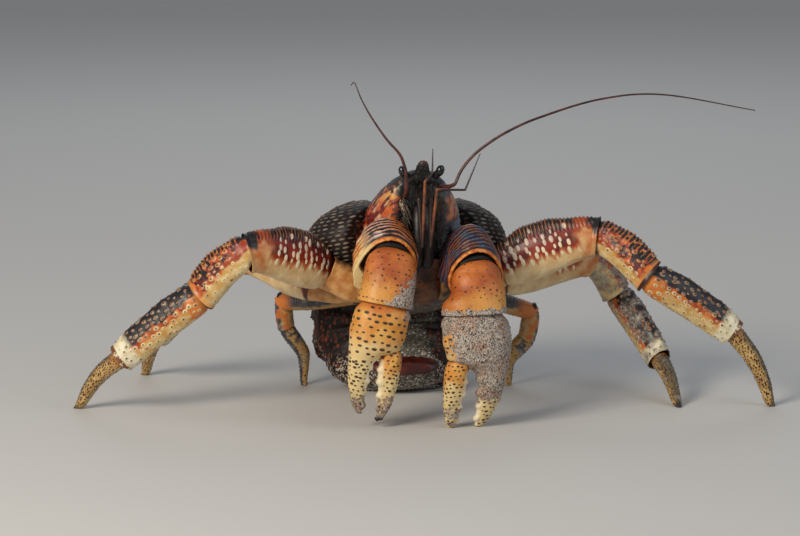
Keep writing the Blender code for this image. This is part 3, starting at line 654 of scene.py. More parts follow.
legs = {
    "sockets": {"leg2": (50, 0, 105), "leg3": (54, 26, 99)},
    "lengths": {
        "leg2": {"base": 28, "merus": 90, "carpus": 57, "propodus": 88, "dactyl": 74},
        "leg3": {"base": 28, "merus": 86, "carpus": 50, "propodus": 76, "dactyl": 62},
    },
    "pose": {  # yaw and pitch of each length
        "leg2_left": ((6, 27), (12, 20), (31, -36), (2, -34)),
        "leg2_right": ((-8, 32), (32, 17), (-26, -44), (-16, -39)),
        "leg3_left": ((0, 12), (-11, 9), (-38, -45), (58, -44)),
        "leg3_right": ((0, 12), (-50, 11), (22, -36), (-56, -38)),
    },
    "dactylYaw": {"leg2_left": 1, "leg2_right": -51, "leg3_left": 86, "leg3_right": -79}, "pastTip": 3,
    "dust": {"leg2": 0, "leg3": 0.75},
    "dustOn": {"base": 0, "merus": 0, "carpus": 1, "propodus": 1, "dactyl": 0.45},
    "slots": {
        "base": "underside", "merus": "leg_upper", "carpus": "leg_upper", "propodus": "leg_lower",
        "dactyl": "leg_tip",
    },
    "crests": {"merus": (3.2, 1.3, 42), "carpus": (3.6, 1.2, 50)},  # step, height and degrees to each side
    "knobs": {
        "carpus": {
            "steps": (6.2, 6.6), "first": 5, "jitter": 0.26, "size": (2.2, 1.6, 1.6), "height": 1.15,
            "pore": 0.5, "lean": 0.45, "weakest": 0.45, "rise": (-0.8, 0.1),
        },
        "propodus": {
            "steps": (5.8, 6.0), "first": 6, "jitter": 0.24, "size": (2.2, 1.5, 1.5), "height": 1.35,
            "pore": 0.55, "lean": 0.5, "weakest": 0.4, "rise": (-0.7, 0.2),
        },
    },
}


def dusty(paint, dust):  # stuck sand and wear, as a greyer layer
    if not dust:
        return ()
    tone, _ = paint.grains(1.1)
    grey = paint.blend(tone, "4a4642", "b5ad9f")
    return ((paint.cloud(11, 0.62 - dust * 0.3, 0.85 - dust * 0.3) * 0.75, grey),)


def ringSpots(paint, pale, pore):  # pale raised ovals and their dark pores, as two layers
    spot = paint.shaken(paint.number("spot"), 0.7, 2.4, 3)
    rusty = paint.blend(paint.number("tone").band(0.35, 1.0) * 0.7, pale, "a8622f")
    oval = spot.band(1.1, 0.75) * paint.cloud(6, 0.2, 0.5, 2)
    return (oval * 0.9, rusty), (spot.band(0.5, 0.25) * 0.9, pore)


def legBasePaint():
    paint = Paint("legBase", coat=0.15)
    top = (paint.number("dorsal") + paint.noise(5) * 0.5).band(0.9, 1.3)
    colour = paint.layered(paint.mottled("b07238", "d8a86a", 9), (top, "2a1813"))
    return paint.finish(colour, 1.6, 0.2, 2, skin=jointSkin)


def meropodPaint(name, dust):
    paint = Paint(name)
    dorsal, along = paint.number("dorsal"), paint.number("along")
    drips = paint.noise(9, 3, (2.2, 0.5, 0.5)) - 0.5
    height = dorsal + drips * 1.1 + along * 0.25
    red = paint.mottled("560d0a", "8c260f", 10, 0.35, 0.65, 2)
    crest = paint.number("crest").band(0.62, 0.95) * dorsal.band(0.76, 0.9) * paint.cloud(4, 0.3, 0.55, 2)
    oval = paint.blend(height.band(0.1, 0.6), "e9d8b4", "cfb9a4")
    knee = paint.layered(
        paint.mottled("bd682c", "d8ae78", 9, 0.3, 0.75), ((dorsal + drips).band(0.45, 0.75), "9c4318"),
        ((dorsal + drips).band(0.88, 1.05) * paint.cloud(5, 0.4, 0.5, 2), "20110d"))
    colour = paint.layered(
        paint.mottled("cfa870", "ecd4a4", 12), (height.band(-0.36, -0.12), red),
        (height.band(-0.5, -0.3) * height.band(0.0, -0.2) * 0.75, "b55322"),
        ((dorsal + paint.noise(6) * 0.5).band(0.98, 1.2), "150c0b"), (crest, "a96026"),
        (paint.number("spot").band(1.08, 0.82) * dorsal.band(0.99, 0.93), oval),
        ((along + drips * 0.12).band(0.76, 0.86), knee),
        (along.band(0.955, 0.985) * dorsal.band(-0.2, 0.3), "1b100e"), (along.band(0.045, 0.015), "5a2015"),
        *dusty(paint, dust))
    return paint.finish(colour, skin=jointSkin)


def carpopodPaint(name, dust):
    paint = Paint(name)
    dorsal, along = paint.number("dorsal"), paint.number("along")
    height = paint.shaken(dorsal, 0.9, 8, 3)
    red = paint.mottled("96300f", "cc6524", 7, 0.4, 0.6)
    red = paint.layered(red, (paint.cloud(13, 0.5, 0.62), "551318"))
    blotch = paint.cloud(7, 0.47, 0.55, 1, (1.4, 0.8, 0.8)) * height.band(0.0, 0.35) * along.band(0.08, 0.2)
    crest = paint.number("crest").band(0.6, 0.9) * dorsal.band(0.45, 0.65) * paint.cloud(4, 0.3, 0.55, 2)
    pale = paint.blend(height.band(-0.4, 0.3), "e8d6a4", "cf8a4c")
    colour = paint.layered(
        paint.mottled("c99c54", "e2cd98", 9), (height.band(-0.5, -0.15), red), (blotch, "120d0e"),
        ((dorsal + paint.noise(5) * 0.4).band(0.98, 1.12), "170e0d"), (crest, "b5622a"),
        *ringSpots(paint, pale, "1f100c"), (along.band(0.9, 0.97) * 0.7, "dc8a3a"),
        (along.band(0.975, 0.995), "3a1a10"), *dusty(paint, dust))
    return paint.finish(colour, skin=jointSkin)


def propodPaint(name, dust):
    paint = Paint(name)
    dorsal, along = paint.number("dorsal"), paint.number("along")
    height = paint.shaken(dorsal, 0.8, 8, 3)
    red = paint.mottled("92300f", "cf7029", 7, 0.4, 0.62)
    navy = paint.blend(paint.noise(5), "0d0e16", "1d1518")
    orange = paint.blend(paint.noise(5), "b85a1c", "d98a3a")
    pale = paint.blend(height.band(-0.3, 0.4), "e4d09c", "a08266")
    band = paint.mottled("cbbf98", "ebe2c6", 6)
    band = paint.layered(band, (paint.number("spot").band(0.55, 0.4), "33251c"))
    colour = paint.layered(
        paint.mottled("c0914a", "dfca92", 8), (height.band(-0.55, -0.15), red),
        (height.band(0.1, 0.26), navy),
        ((along + height * 0.06).band(0.2, 0.12) * dorsal.band(0.45, 0.2), orange),
        *ringSpots(paint, pale, "22120d"), ((along + paint.noise(5) * 0.05).band(0.83, 0.9), band),
        (along.band(0.975, 0.99) * paint.cloud(4, 0.35, 0.5, 2), "6d3d1c"), *dusty(paint, dust))
    return paint.finish(colour, skin="5a3d22")


def dactylPaint(name, dust):
    paint = Paint(name, coat=0.2)
    along = paint.number("along")
    colour = paint.layered(
        paint.mottled("a07840", "cda868", 7),
        ((paint.number("dorsal") + paint.noise(6) * 0.6).band(0.5, 1.1) * 0.85, "544a3a"),
        (along.band(0.12, 0.0), "a86a2a"), (paint.number("spot").band(1.05, 0.7), "1c130f"),
        (along.band(0.9, 1.0), "2a1f18"), *dusty(paint, dust))
    return paint.finish(colour, 1.0, 0.15, skin=jointSkin)


legPaints = {("base", 0): legBasePaint()}


def legPaint(kind, dust):
    makers = {"merus": meropodPaint, "carpus": carpopodPaint, "propodus": propodPaint, "dactyl": dactylPaint}
    if (kind, dust) not in legPaints:
        legPaints[kind, dust] = makers[kind](kind + ("Sandy" if dust else ""), dust)
    return legPaints[kind, dust]


def legJoints(leg, sideName, side):
    lengths = legs["lengths"][leg]
    points = [mirrored(legs["sockets"][leg], side)]
    for kind, (yaw, pitch) in zip(lengths, legs["pose"][f"{leg}_{sideName}"]):
        points.append(points[-1] + heading(yaw, pitch, side) * lengths[kind])
    fall = math.degrees(math.asin(points[-1][2] / lengths["dactyl"]))
    tipWay = heading(legs["dactylYaw"][f"{leg}_{sideName}"], -fall, side)
    return [*points, points[-1] + tipWay * (lengths["dactyl"] + legs["pastTip"])]


def crestRidges(shell, step, height, arc, low=2.0, high=3.0):
    # short cross ridges along the upper edge, like the teeth of a worn file
    wobble = (softNoise(shell.points, 7) - 0.5) * 0.9
    ridge = np.clip(np.cos(math.tau * (shell.run / step + wobble * 0.35)), -0.2, 1)
    across = eased(math.cos(math.radians(arc)), math.cos(math.radians(arc * 0.6)), np.cos(shell.angle))
    inside = eased(low, low + 3, shell.fromNeck) * eased(high, high + 3, shell.fromRim)
    shell.marks["crest"] = (ridge * 0.5 + 0.5) * across * inside
    return height * np.clip(ridge, 0, 1) * across * inside * (0.7 + 0.6 * softNoise(shell.points, 5))


def legRelief(shell, kind):
    limb = shell.limb
    height = 0.35 * roughNoise(shell.points, 9)
    if kind in legs["crests"]:
        height += crestRidges(shell, *legs["crests"][kind])
    if kind == "merus":
        arcs = (14, 122), (-122, -14)
        centres = [rowsOn(shell, 7.0, 7.6, 9, limb.length * 0.77, arc, 0.26) for arc in arcs]
        gap, _ = limbSpots(shell, np.vstack(centres), (1.5, 2.9, 2.9), 0.4)
        below = eased(-0.5, -0.8, np.cos(shell.angle))
        height += 0.35 * dome(gap) + 0.5 * below * np.clip(softNoise(shell.points, 2.2) - 0.55, 0, 1)
    elif kind in legs["knobs"]:
        knob = legs["knobs"][kind]
        centres = rowsOn(shell, *knob["steps"], knob["first"], limb.length - 3, jitter=knob["jitter"])
        gap, lean = limbSpots(shell, centres, knob["size"], 0.35)
        strong = knob["weakest"] + (1 - knob["weakest"]) * eased(*knob["rise"], np.cos(shell.angle))
        tilted = 0.8 + knob["lean"] * np.clip(lean, -1, 1)
        height += (knob["height"] * dome(gap) - knob["pore"] * dome(gap / 0.4)) * tilted * strong
    elif kind == "dactyl":
        centres = rowsOn(shell, 2.6, 2.8, 3, limb.length - 2, jitter=0.25)
        gap, _ = limbSpots(shell, centres, (1.05, 0.8, 0.8), 0.3)
        height += 0.5 * dome(gap)
    shell.raiseBy(height * (1 - shell.lid))


def buildLeg(leg, sideName, side):
    points = legJoints(leg, sideName, side)
    ways = [unit(b - a) for a, b in zip(points, points[1:])]
    bends = [None, *(unit(a + b) for a, b in zip(ways, ways[1:])), None]
    necks = {"base": 1.0, "dactyl": 0.97}
    for k, kind in enumerate(legs["lengths"][leg]):
        node = f"{leg}_{sideName}_{kind}"
        limb = Limb(node, points[k], points[k + 1], upward, side, bends[k], bends[k + 1])
        shell = limb.build(
            flatStart if kind == "base" else ballEnd, tipEnd if kind == "dactyl" else cupEnd,
            neck=necks.get(kind, 0.86), flare=1.1 if kind in legs["crests"] else 0.5)
        legRelief(shell, kind)
        shell.finish(legPaint(kind, legs["dust"][leg] * legs["dustOn"][kind]), legs["slots"][kind])


for leg in legs["sockets"]:
    for sideName, side in sides:
        buildLeg(leg, sideName, side)
report("walking legs made")


# Fourth legs

leg4 = {
    "socket": (48, 52, 88), "lengths": (20, 50, 24, 30), "fromEnd": 2,
    "pose": {
        "left": ((-13, -10), (2, -18), (-112, -76), (-137, -48)),
        "right": ((-27, -10), (-47, -9), (-125, -78), (-176, -57)),
    },
    "slots": {"merus": "leg_lower", "carpus": "leg_upper", "palm": "leg_tip"},
}


def leg4Paint(kind):
    paint = Paint(f"leg4{kind}", 0.45, 0.15)
    along = paint.number("along")
    slate = paint.blend(paint.noise(6), "23242b", "4d5058")
    ochre = paint.blend(paint.noise(6), "a97a3c", "c8a468")
    low = 0.1 if kind == "merus" else 0.55
    upper = (paint.number("dorsal") + paint.noise(7) * 0.7).band(low, low + 0.35)
    colour = paint.blend(upper, ochre, slate)
    if kind == "merus":
        layers = (paint.number("crest").band(0.4, 0.8), "6d6a6c"), (along.band(0.72, 0.9), "c8742e")
    elif kind == "carpus":
        layers = ((paint.cloud(8, 0.58, 0.42), "b9682c"),)
    else:
        layers = (
            (paint.cloud(8, 0.5, 0.6, 2) * along.band(0.4, 0.2), "3c4652"),
            (paint.number("spot").band(1.0, 0.7), "3a2c1c"))
    return paint.finish(paint.layered(colour, *layers, *dusty(paint, 0.3)), 1.2, 0.2, skin=jointSkin)


leg4Paints = {kind: leg4Paint(kind) for kind in leg4["slots"]}


def buildFourthLeg(sideName, side):
    points = [mirrored(leg4["socket"], side)]
    for length, (yaw, pitch) in zip(leg4["lengths"], leg4["pose"][sideName]):
        points.append(points[-1] + heading(yaw, pitch, side) * length)
    ways = [unit(b - a) for a, b in zip(points[1:], points[2:])]
    bends = [None, unit(ways[0] + ways[1]), unit(ways[1] + ways[2]), None]
    tip = points[-1] * (1, 1, 0) + (0.15 * side, 0, -leg4["fromEnd"])
    stops = [points[0], points[2], points[3], tip]
    outward = np.array((side * 0.7, 0, 0.7))
    for k, (kind, slot) in enumerate(leg4["slots"].items()):
        node = f"leg4_{sideName}_{kind}"
        limb = Limb(node, stops[k], stops[k + 1], outward, side, bends[k], bends[k + 1])
        shell = limb.build(
            flatStart if kind == "merus" else ballEnd, tipEnd if kind == "palm" else cupEnd,
            neck=1.0 if kind == "merus" else 0.9, neckRun=4)
        height = crestRidges(shell, 3.0, 0.6, 80)
        gap, _ = limbSpots(shell, rowsOn(shell, 4, 4.5, 3, limb.length - 2), (0.9, 0.9, 0.9))
        shell.raiseBy((height + 0.4 * dome(gap) + 0.4 * roughNoise(shell.points, 7)) * (1 - shell.lid))
        shell.finish(leg4Paints[kind], slot)


for sideName, side in sides:
    buildFourthLeg(sideName, side)
report("fourth legs made")


# Claws

claws = {
    "left": {
        "rim": (40, -81, 126), "socket": (38.5, -80, 131.5), "wrist": (36, -99, 99), "length": 1.03,
        "lean": 2, "forward": 5,
    },
    "right": {
        "rim": (30, -72, 137), "socket": (29.5, -71, 142.5), "wrist": (37, -88, 107), "length": 1.0,
        "lean": 12, "forward": 5,
    },
    "rimNormal": (0.106, -0.91, -0.40), "cup": (26, 22.5), "cupDepth": 8, "rimHalf": (24, 26),
    "terraceStep": 4.0, "terraceHeight": 1.35,
    "root": (27, -32, 114), "rootStart": (-6, 8, -5), "rootEnd": (0, -5, 11),
    "palmReach": 97, "fingerStart": 36, "fingerAside": 14, "toothStep": 11, "toothHeight": 1.3,
    "grooveWidth": 1.3, "grooveDepth": 0.9, "wristHalf": (24, 20), "wristDots": (0.75, 1.15, 1.15),
    "knobHeight": 0.9, "palmKnobs": (1.3, 2.1, 2.1), "fingerKnobs": (1.0, 1.3, 1.3),
    "wristNear": (
        (0.3, -9), (0.6, -8.6), (0.8, -7.6), (0.9, -6.2), (0.95, -4.8), (0.98, -3.4), (0.99, -2.2),
        (1.0, -1.1)),
    "fingerNear": ((0.3, -2), (0.6, -1.8), (0.85, -1.2)), "rootFar": ((0.9, 0), (0.7, 0), (0.4, 0)),
}


def sandCrust(paint, cover):  # stuck beach sand as a layer: pale, dark and rusty grains
    tone, gap = paint.grains(0.9)
    return cover, paint.layered(
        paint.blend(tone.band(0.2, 0.8), "857a70", "c2b8ac"), (tone.band(0.17, 0.11), "2b2420"),
        (tone.band(0.72, 0.78) * paint.cloud(13, 0.36, 0.6, 2) * 0.85, "a8642e"),
        (gap.band(0.45, 0.75) * 0.45, "4a3d34"))


# The arm colours come as a lit copy and a darker, bluer shaded copy: painted light and shade of the two arms.
def clawArmPaint(name, shadedCopy):
    paint = Paint(name, 0.4, 0.15)
    terrace, outer, top = paint.number("terrace"), paint.number("outer"), paint.number("top")
    step = terrace.fraction()
    edge = step.band(0.56, 0.74) * step.band(1.0, 0.92) * paint.cloud(6, 0.25, 0.42)
    if shadedCopy:
        # painted shade: the crab's left arm, away from the key light, gets darker, bluer copies of the arm
        # colours, purple-grey toward its outer side
        dark = paint.mottled("151625", "29100e", 10, 0.4, 0.6)
        wine = paint.mottled("4c0f0d", "3c2144", 14, 0.4, 0.6, 2)
        wine = paint.layered(wine, (paint.shaken(outer, 1, 12).band(0.2, 0.7), "6a5a78"))
        warm = paint.mottled("93522c", "50586e", 9, 0.4, 0.6)
        high = paint.mottled("465068", "7d4730", 11, 0.42, 0.58)
        lipColour = paint.layered(paint.mottled("a56a48", "b08a86", 9), (edge * 0.85, "6a3a5a"))
    else:
        # the crab's right arm, toward the key light, gets the lit copy of the colours
        dark = "100d10"
        wine = paint.mottled("4c0f0d", "8a2d14", 14, 0.4, 0.6, 2)
        warm = paint.mottled("c25f22", "a88a7a", 9, 0.4, 0.6)
        # painted highlight: the upper ridge edges turn pale pink-grey toward the outer end, which faces the
        # key light
        high = paint.blend(paint.shaken(outer, 0.8, 8).band(-0.3, 0.3), "b8642c", "c2917a")
        lipColour = paint.layered(paint.mottled("c9974e", "e2cc94", 9), (edge * 0.85, "a2360f"))
    ground = paint.blend(paint.shaken(top, 0.9, 16).band(0.1, 0.5), wine, dark)
    lip = paint.shaken(outer - top * 0.35, 0.5, 10, 3).band(0.35, 0.8) * terrace.band(8, 3.5)
    rim = paint.mottled("b8561a", "db8f3c", 5, 0.35, 0.65)
    if not shadedCopy:
        # painted light: the lit arm's rim turns pale cream toward its outer side
        rim = paint.layered(rim, (outer.band(0.4, 0.9), "e0c68c"))
    colour = paint.layered(
        ground, (edge, paint.blend(top.band(0.3, 0.9), warm, high)), (lip, lipColour),
        (paint.shaken(terrace, 0.5, 5).band(1.15, 0.75), rim))
    return paint.finish(colour, 0.8, 0.1, skin=jointSkin)


def clawWristPaint():
    paint = Paint("clawWrist", 0.54, 0.06)
    fade = paint.shaken(paint.number("along"), 0.5, 12) + paint.number("outer") * 0.3
    cover = paint.shaken(paint.number("sand"), 1.2, 5, 3).band(0.45, 0.6)
    # the near-black groove at the wrist's neck is a painted shadow in the gap between the arm and the wrist
    colour = paint.layered(
        paint.mottled("a04c18", "c26c28", 14), (fade.band(0.45, 1.15) * 0.9, "d59a48"),
        (paint.cloud(2.5, 0.55, 0.7) * 0.35, "8a3c14"), (paint.number("spot").band(1.0, 0.72), "1f1511"),
        sandCrust(paint, cover), (paint.number("shadedGroove"), "0d090a"))
    return paint.finish(colour, 0.9, 0.22, roughness=0.54 + cover * 0.32, skin=jointSkin)


def handPaint():
    paint = Paint("clawHand", 0.54, 0.06)
    along = paint.number("along")
    # each knob is brown above and near-black on its lower, distal side: partly its own dark brown, partly
    # painted shade under the raised scale
    knob = paint.blend(paint.number("lean").band(-0.7, 0.0), "8a6430", "1c110d")
    cover = paint.shaken(paint.number("sand"), 0.9, 5, 3).band(0.42, 0.6)
    colour = paint.layered(
        paint.mottled("c9822f", "dba552", 12), (paint.shaken(along, 0.4, 10).band(0.2, 0.5), "dcc48c"),
        (paint.shaken(along, 0.2, 9).band(0.14, 0.0), "c06a26"), (paint.number("spot").band(1.05, 0.8), knob),
        (paint.number("tooth") * 0.8, "e9dfc4"), sandCrust(paint, cover),
        (paint.number("tip").band(0.96, 1.0), "191311"))
    return paint.finish(colour, 0.9, 0.22, roughness=0.54 + cover * 0.32, skin=jointSkin)


clawPaints = {
    "left": clawArmPaint("clawArmLeftShaded", True), "right": clawArmPaint("clawArmRightLit", False),
    "wrist": clawWristPaint(), "hand": handPaint(),
}


def buildArm(sideName, side, claw):
    shell = cadShell(f"claw_{sideName}_merus", 0.72, 12)
    points = shell.points
    forward = unit(mirrored(claws["rimNormal"], side))
    rim = mirrored(claw["rim"], side)
    behind = (rim - points) @ forward
    face = (shell.normals @ forward > 0.82) & (behind < 3)
    tree = treeOf(points[~face & (behind < 8)])
    inside = np.zeros(len(face))
    inside[face] = [tree.find(place)[2] for place in points[face]]
    level = unit(np.cross(forward, upward))
    steep = np.cross(level, forward)
    offset = points - mirrored(claw["socket"], side)
    hole = eased(1.08, 0.98, np.hypot(offset @ level / claws["cup"][0], offset @ steep / claws["cup"][1]))
    cup = eased(0.6, 3.4, inside) * hole
    out = (points - rim)[:, 0] * side / claws["rimHalf"][0]
    up = (points - rim) @ np.cross(forward, (1, 0, 0)) / claws["rimHalf"][1]
    if up[points[:, 2].argmax()] < 0:
        up = -up
    wave = (softNoise(points, 16) - 0.5) * 2.4 + (softNoise(points, 7) - 0.5) * 2.0
    terrace = np.clip(behind + wave * eased(2, 10, behind), 0, 90) / claws["terraceStep"]
    height = claws["terraceHeight"] * (terrace % 1) ** 1.6 * eased(0.9, 1.3, terrace) * (1 - cup)
    height += 0.5 * roughNoise(points, 10) + 0.7 * eased(3.4, 2.2, behind) * (1 - eased(0, 0.6, inside))
    shell.marks.update({
        "terrace": terrace, "outer": out, "top": up + 0.15, "lid": eased(0.9, 1.8, inside) * face * hole})
    height, sink = height * (1 - cup), cup * claws["cupDepth"]
    shell.write(points + shell.normals * height[:, None] - forward * sink[:, None])
    shell.finish(clawPaints[sideName], "arm")
    return rim, forward


def handFrame(claw, side):
    lean, forward = math.radians(claw["lean"]), math.radians(claw["forward"])
    down = unit((side * math.sin(lean), -math.sin(forward), -math.cos(lean) * math.cos(forward)))
    out = unit(np.array((side, 0, 0)) - down * down[0] * side)
    front = np.cross(out, down) * side
    return down, -out, -front if front[1] > 0 else front


def buildRoot(sideName, side):
    root = mirrored(claws["root"], side)
    start = root + mirrored(claws["rootStart"], side)
    limb = Limb(f"claw_{sideName}_base", start, root + claws["rootEnd"], forwards, side, degree=2)
    shell = limb.build(flatStart, claws["rootFar"], neck=1.0, flare=0)
    shell.raiseBy(0.4 * roughNoise(shell.points, 6))
    shell.finish(legPaints["base", 0], "underside")


def buildWrist(sideName, side, rim, wrist, forward, down, inward):
    limb = Limb(f"claw_{sideName}_carpus", rim, wrist, forwards, side, forward, down, degree=3, harmonics=6)
    shell = limb.build(claws["wristNear"], cupEnd, neck=0.83, neckRun=7, flare=0.8)
    # a sunk groove round the wrist's neck, wider where it faces up; it is painted near-black as a shadow in
    # the gap under the arm's rim
    width = claws["grooveWidth"] * (1 + np.clip(shell.normals @ upward, 0, 1))
    width = width + 0.8 * (softNoise(shell.points, 4) - 0.5)
    shadedGroove = eased(width + 0.4, width - 0.4, shell.fromNeck)
    dots = rowsOn(shell, 5.0, 6.0, -2, limb.length - 3, jitter=0.3)
    dots = np.vstack([dots, thrown(shell, 3.2, np.abs(shell.fromRim - 2.4) < 1.2)])
    gap, _ = limbSpots(shell, dots, claws["wristDots"], 0.4)
    inner = ((shell.points - wrist) @ inward) / claws["wristHalf"][0]
    lower = ((shell.points - wrist) @ down) / claws["wristHalf"][1] + 0.5
    sand = np.clip(inner + lower * 0.6 + 0.3 if side < 0 else lower * 2.0 - 0.1, 0, 1)
    lid = shell.lid * eased(-3, -6, shell.fromNeck)
    shell.marks.update({"shadedGroove": shadedGroove, "sand": sand, "outer": -inner, "lid": lid})
    rimRow = np.clip(1 - np.abs(shell.fromRim - 2.5) / 1.2, 0, 1) * (np.cos(shell.angle * 13) > 0.3)
    height = 0.6 * dome(gap) + 0.5 * roughNoise(shell.points, 8) + 0.8 * rimRow
    height += 0.5 * sand * (softNoise(shell.points, 1.2) - 0.4)
    height -= claws["grooveDepth"] * shadedGroove * eased(-2, 0, shell.fromNeck)
    shell.raiseBy(height * (1 - shell.lid))
    shell.finish(clawPaints["wrist"], "wrist")


def finishHand(shell, claw, side, inward, wrist, down, isPalm):
    limb, points = shell.limb, shell.points
    distance = (points - wrist) @ down / claw["length"]
    wide = rowsOn(shell, 5.8, 7.2, 3, limb.length * 0.52, jitter=0.2) if isPalm else np.zeros((0, 3))
    close = rowsOn(shell, 3.7, 4.3, limb.length * 0.54 if isPalm else 2, limb.length - 3, jitter=0.25)
    knobs = claws["palmKnobs" if isPalm else "fingerKnobs"]
    gap, lean = limbSpots(shell, np.vstack([wide, close]), knobs, 0.3)
    gap = gap * (1 + 0.35 * eased(44, 60, distance) * isPalm)
    biting = limb.ways[np.rint(shell.angle / math.tau * limb.columns).astype(int) % limb.columns] @ inward
    biting = eased(0.45, 0.85, biting if isPalm else -biting) * eased(44, 50, distance)
    tooth = biting * np.clip(np.cos(math.tau * distance / claws["toothStep"]), -0.3, 1)
    gap = gap + 9 * (biting > 0.35)
    height = claws["knobHeight"] * (1 - 0.35 * eased(36, 60, distance)) * dome(gap, 0.9)
    height = height * (0.75 + 0.4 * np.clip(lean, -1, 1))
    height += claws["toothHeight"] * tooth + 0.4 * roughNoise(points, 8)
    inner = eased(0.5, 0.95, ((points - wrist) @ inward) / (24 if side > 0 else 22))
    if side < 0:
        crust = 0.62 * eased(56, 88, distance) + 0.8 * inner * eased(30, 0, distance)
    elif isPalm:
        crust = 0.95 * eased(96, 52, distance) * eased(-8, -3, distance)
        crust = crust * (1 - 0.55 * inner * eased(6, 20, distance))
    else:
        crust = 0.55 * eased(58, 86, distance)
    height += 0.5 * crust * (softNoise(points, 1.1) - 0.3)
    tip = np.clip(distance / claws["palmReach"], 0, 1)
    shell.marks.update({"spot": gap, "sand": crust, "tooth": biting, "tip": tip})
    shell.raiseBy(height * (1 - shell.lid))
    shell.finish(clawPaints["hand"], "hand")


def buildClaw(sideName, side):
    claw = claws[sideName]
    wrist = mirrored(claw["wrist"], side)
    down, inward, front = handFrame(claw, side)
    rim, forward = buildArm(sideName, side, claw)
    buildRoot(sideName, side)
    buildWrist(sideName, side, rim, wrist, forward, down, inward)

    reach = claws["palmReach"] * claw["length"]
    palm = Limb(
        f"claw_{sideName}_palm", wrist, wrist + down * reach, front, side, down,
        width=2.4, harmonics=8, degree=7)
    shell = palm.build(ballEnd, tipEnd, neck=0.87, neckRun=9, flare=0)
    finishHand(shell, claw, side, inward, wrist, down, True)

    aside = wrist + inward * claws["fingerAside"]
    start = aside + down * claws["fingerStart"] * claw["length"]
    finger = Limb(f"claw_{sideName}_finger", start, aside + down * reach, front, side, width=2.4)
    shell = finger.build(claws["fingerNear"], tipEnd, neck=0.9, neckRun=5, flare=0)
    finishHand(shell, claw, side, inward, wrist, down, False)


for sideName, side in sides:
    buildClaw(sideName, side)
report("claws made")


# Body

body = {
    "gillCentre": (48, 38, 139.5), "gillHalf": (40, 46, 31), "gillRoll": 25, "gillReach": 42,
    "gillPole": (-0.4, 0, 1), "rowStep": 5.0, "dashStep": 8.4, "abdomenPivot": (60, 62),
    "streakAxes": ((0.43, 0.83, 0.36), (0.64, -0.56, 0.53), (-0.64, 0, 0.77)),  # columns: along, up and out
}


def sandGrains(paint, dark, pale, bright):
    tone, _ = paint.grains(1.1)
    return tone, paint.layered(paint.blend(tone, dark, pale), (tone.band(0.9, 0.94), bright))


def headPaint():
    paint = Paint("headShield", coat=0.15)
    x, y, z = paint.axes()
    slate = paint.mottled("121014", "2c2a30", 7, 0.35, 0.7)
    bright = paint.cloud(9, 0.44, 0.56, 3, (0.5, 1, 1), "streak") * (z + paint.noise(9) * 20).band(186, 200)
    cheek = paint.layered(
        paint.blend(paint.cloud(7, 0.44, 0.56, 3, (0.45, 1, 1.2), "streak"), "bf571c", "6e120c"),
        (bright, "dc9a4e"),
        (paint.cloud(4.5, 0.58, 0.64, 3, (0.35, 1, 1.3), "streak") * 0.8, "d8b088"),
        (paint.cloud(6, 0.57, 0.65, 3, (0.4, 1.2, 1), "streak"), "190e10"),
        (paint.shaken(z, 50, 9, 3).band(165, 140) * 0.85, "2a120e"))
    # painted shade: the crab's left cheek, away from the key light, is painted dark slate with a brown patch,
    # unlike the marbled red of its right cheek
    patch = paint.shaken(x, 6, 6).band(20, 24) * paint.shaken(z, 8, 5).band(166, 171)
    patch = patch * paint.shaken(z, 6, 5).band(191, 186)
    brown = paint.mottled("7e3d26", "c07a50", 7, 0.35, 0.6, 3, (0.6, 1, 1))
    # painted highlight: a pale blue-grey band along the outer and lower edges of the shaded cheek
    pale = paint.shaken(x, 4, 5).band(34, 37) + paint.shaken(z, 6, 5).band(168, 164)
    shadedCheek = paint.layered(
        paint.mottled("1b191b", "3d4148", 6, 0.35, 0.65), (patch, brown),
        (pale * x.band(24, 30) * z.band(150, 158) * 0.8, "6c7886"))
    across = paint.shaken((x + 1) * (1 / 21), 0.55, 7, 3)
    gloom = paint.mottled("0c0a0b", "302823", 4, 0.45, 0.75)
    colour = paint.layered(
        paint.blend(x.band(-4, 6), cheek, shadedCheek),
        (paint.shaken(paint.number("top"), 0.7, 9, 3).band(0.35, 0.62), slate),
        (across.size().band(1.0, 0.78) * y.band(-24, -36), gloom),
        (paint.number("spot").band(1.0, 0.7) * 0.28, "4a505c"),
        (y.band(-51, -58) * (z + paint.noise(3) * 6).band(221, 225), "5e2c1a"))
    return paint.finish(colour, 1.0, 0.15)


def backPaint():
    paint = Paint("backShield", coat=0.2)
    brown = paint.blend(paint.noise(12, 3), "1c1412", "4a2a1c")
    return paint.finish(paint.layered(brown, (paint.number("spot").band(1.05, 0.75), "9a7a58")), 1.0, 0.15)


def gillPaint():
    paint = Paint("gillCover", 0.6, 0.05, 0.3)
    x, y, z = paint.axes()
    dash = paint.blend(paint.number("tone"), "42372f", "847565")
    rough = paint.shaken(x.size(), 9, 7).band(52, 46) * z.band(164, 154) * y.band(34, 14)
    colour = paint.layered(
        paint.mottled("0c0909", "241512", 14, 0.35, 0.7),
        (paint.number("rim").band(0.35, 0.7) * paint.cloud(3, 0.3, 0.5, 2), "8a5c38"),
        (paint.number("spot").band(1.02, 0.8), dash),
        (rough, paint.mottled("170b0a", "7a3420", 3.5, 0.45, 0.6)))
    return paint.finish(colour, 1.0)


def chestPaint():
    paint = Paint("chest", 0.45, 0.15)
    x, y, z = paint.axes()
    _, sand = sandGrains(paint, "24221f", "6f6a60", "b8b2a6")
    low = paint.shaken(z, 12, 8, 3).band(97, 88) * x.size().band(40, 26) * y.band(50, 30)
    colour = paint.layered(
        paint.mottled("33190f", "8a5226", 10, 0.35, 0.65), (paint.cloud(5, 0.55, 0.7), "140d0c"), (low, sand))
    return paint.finish(colour, 1.2, 0.2)


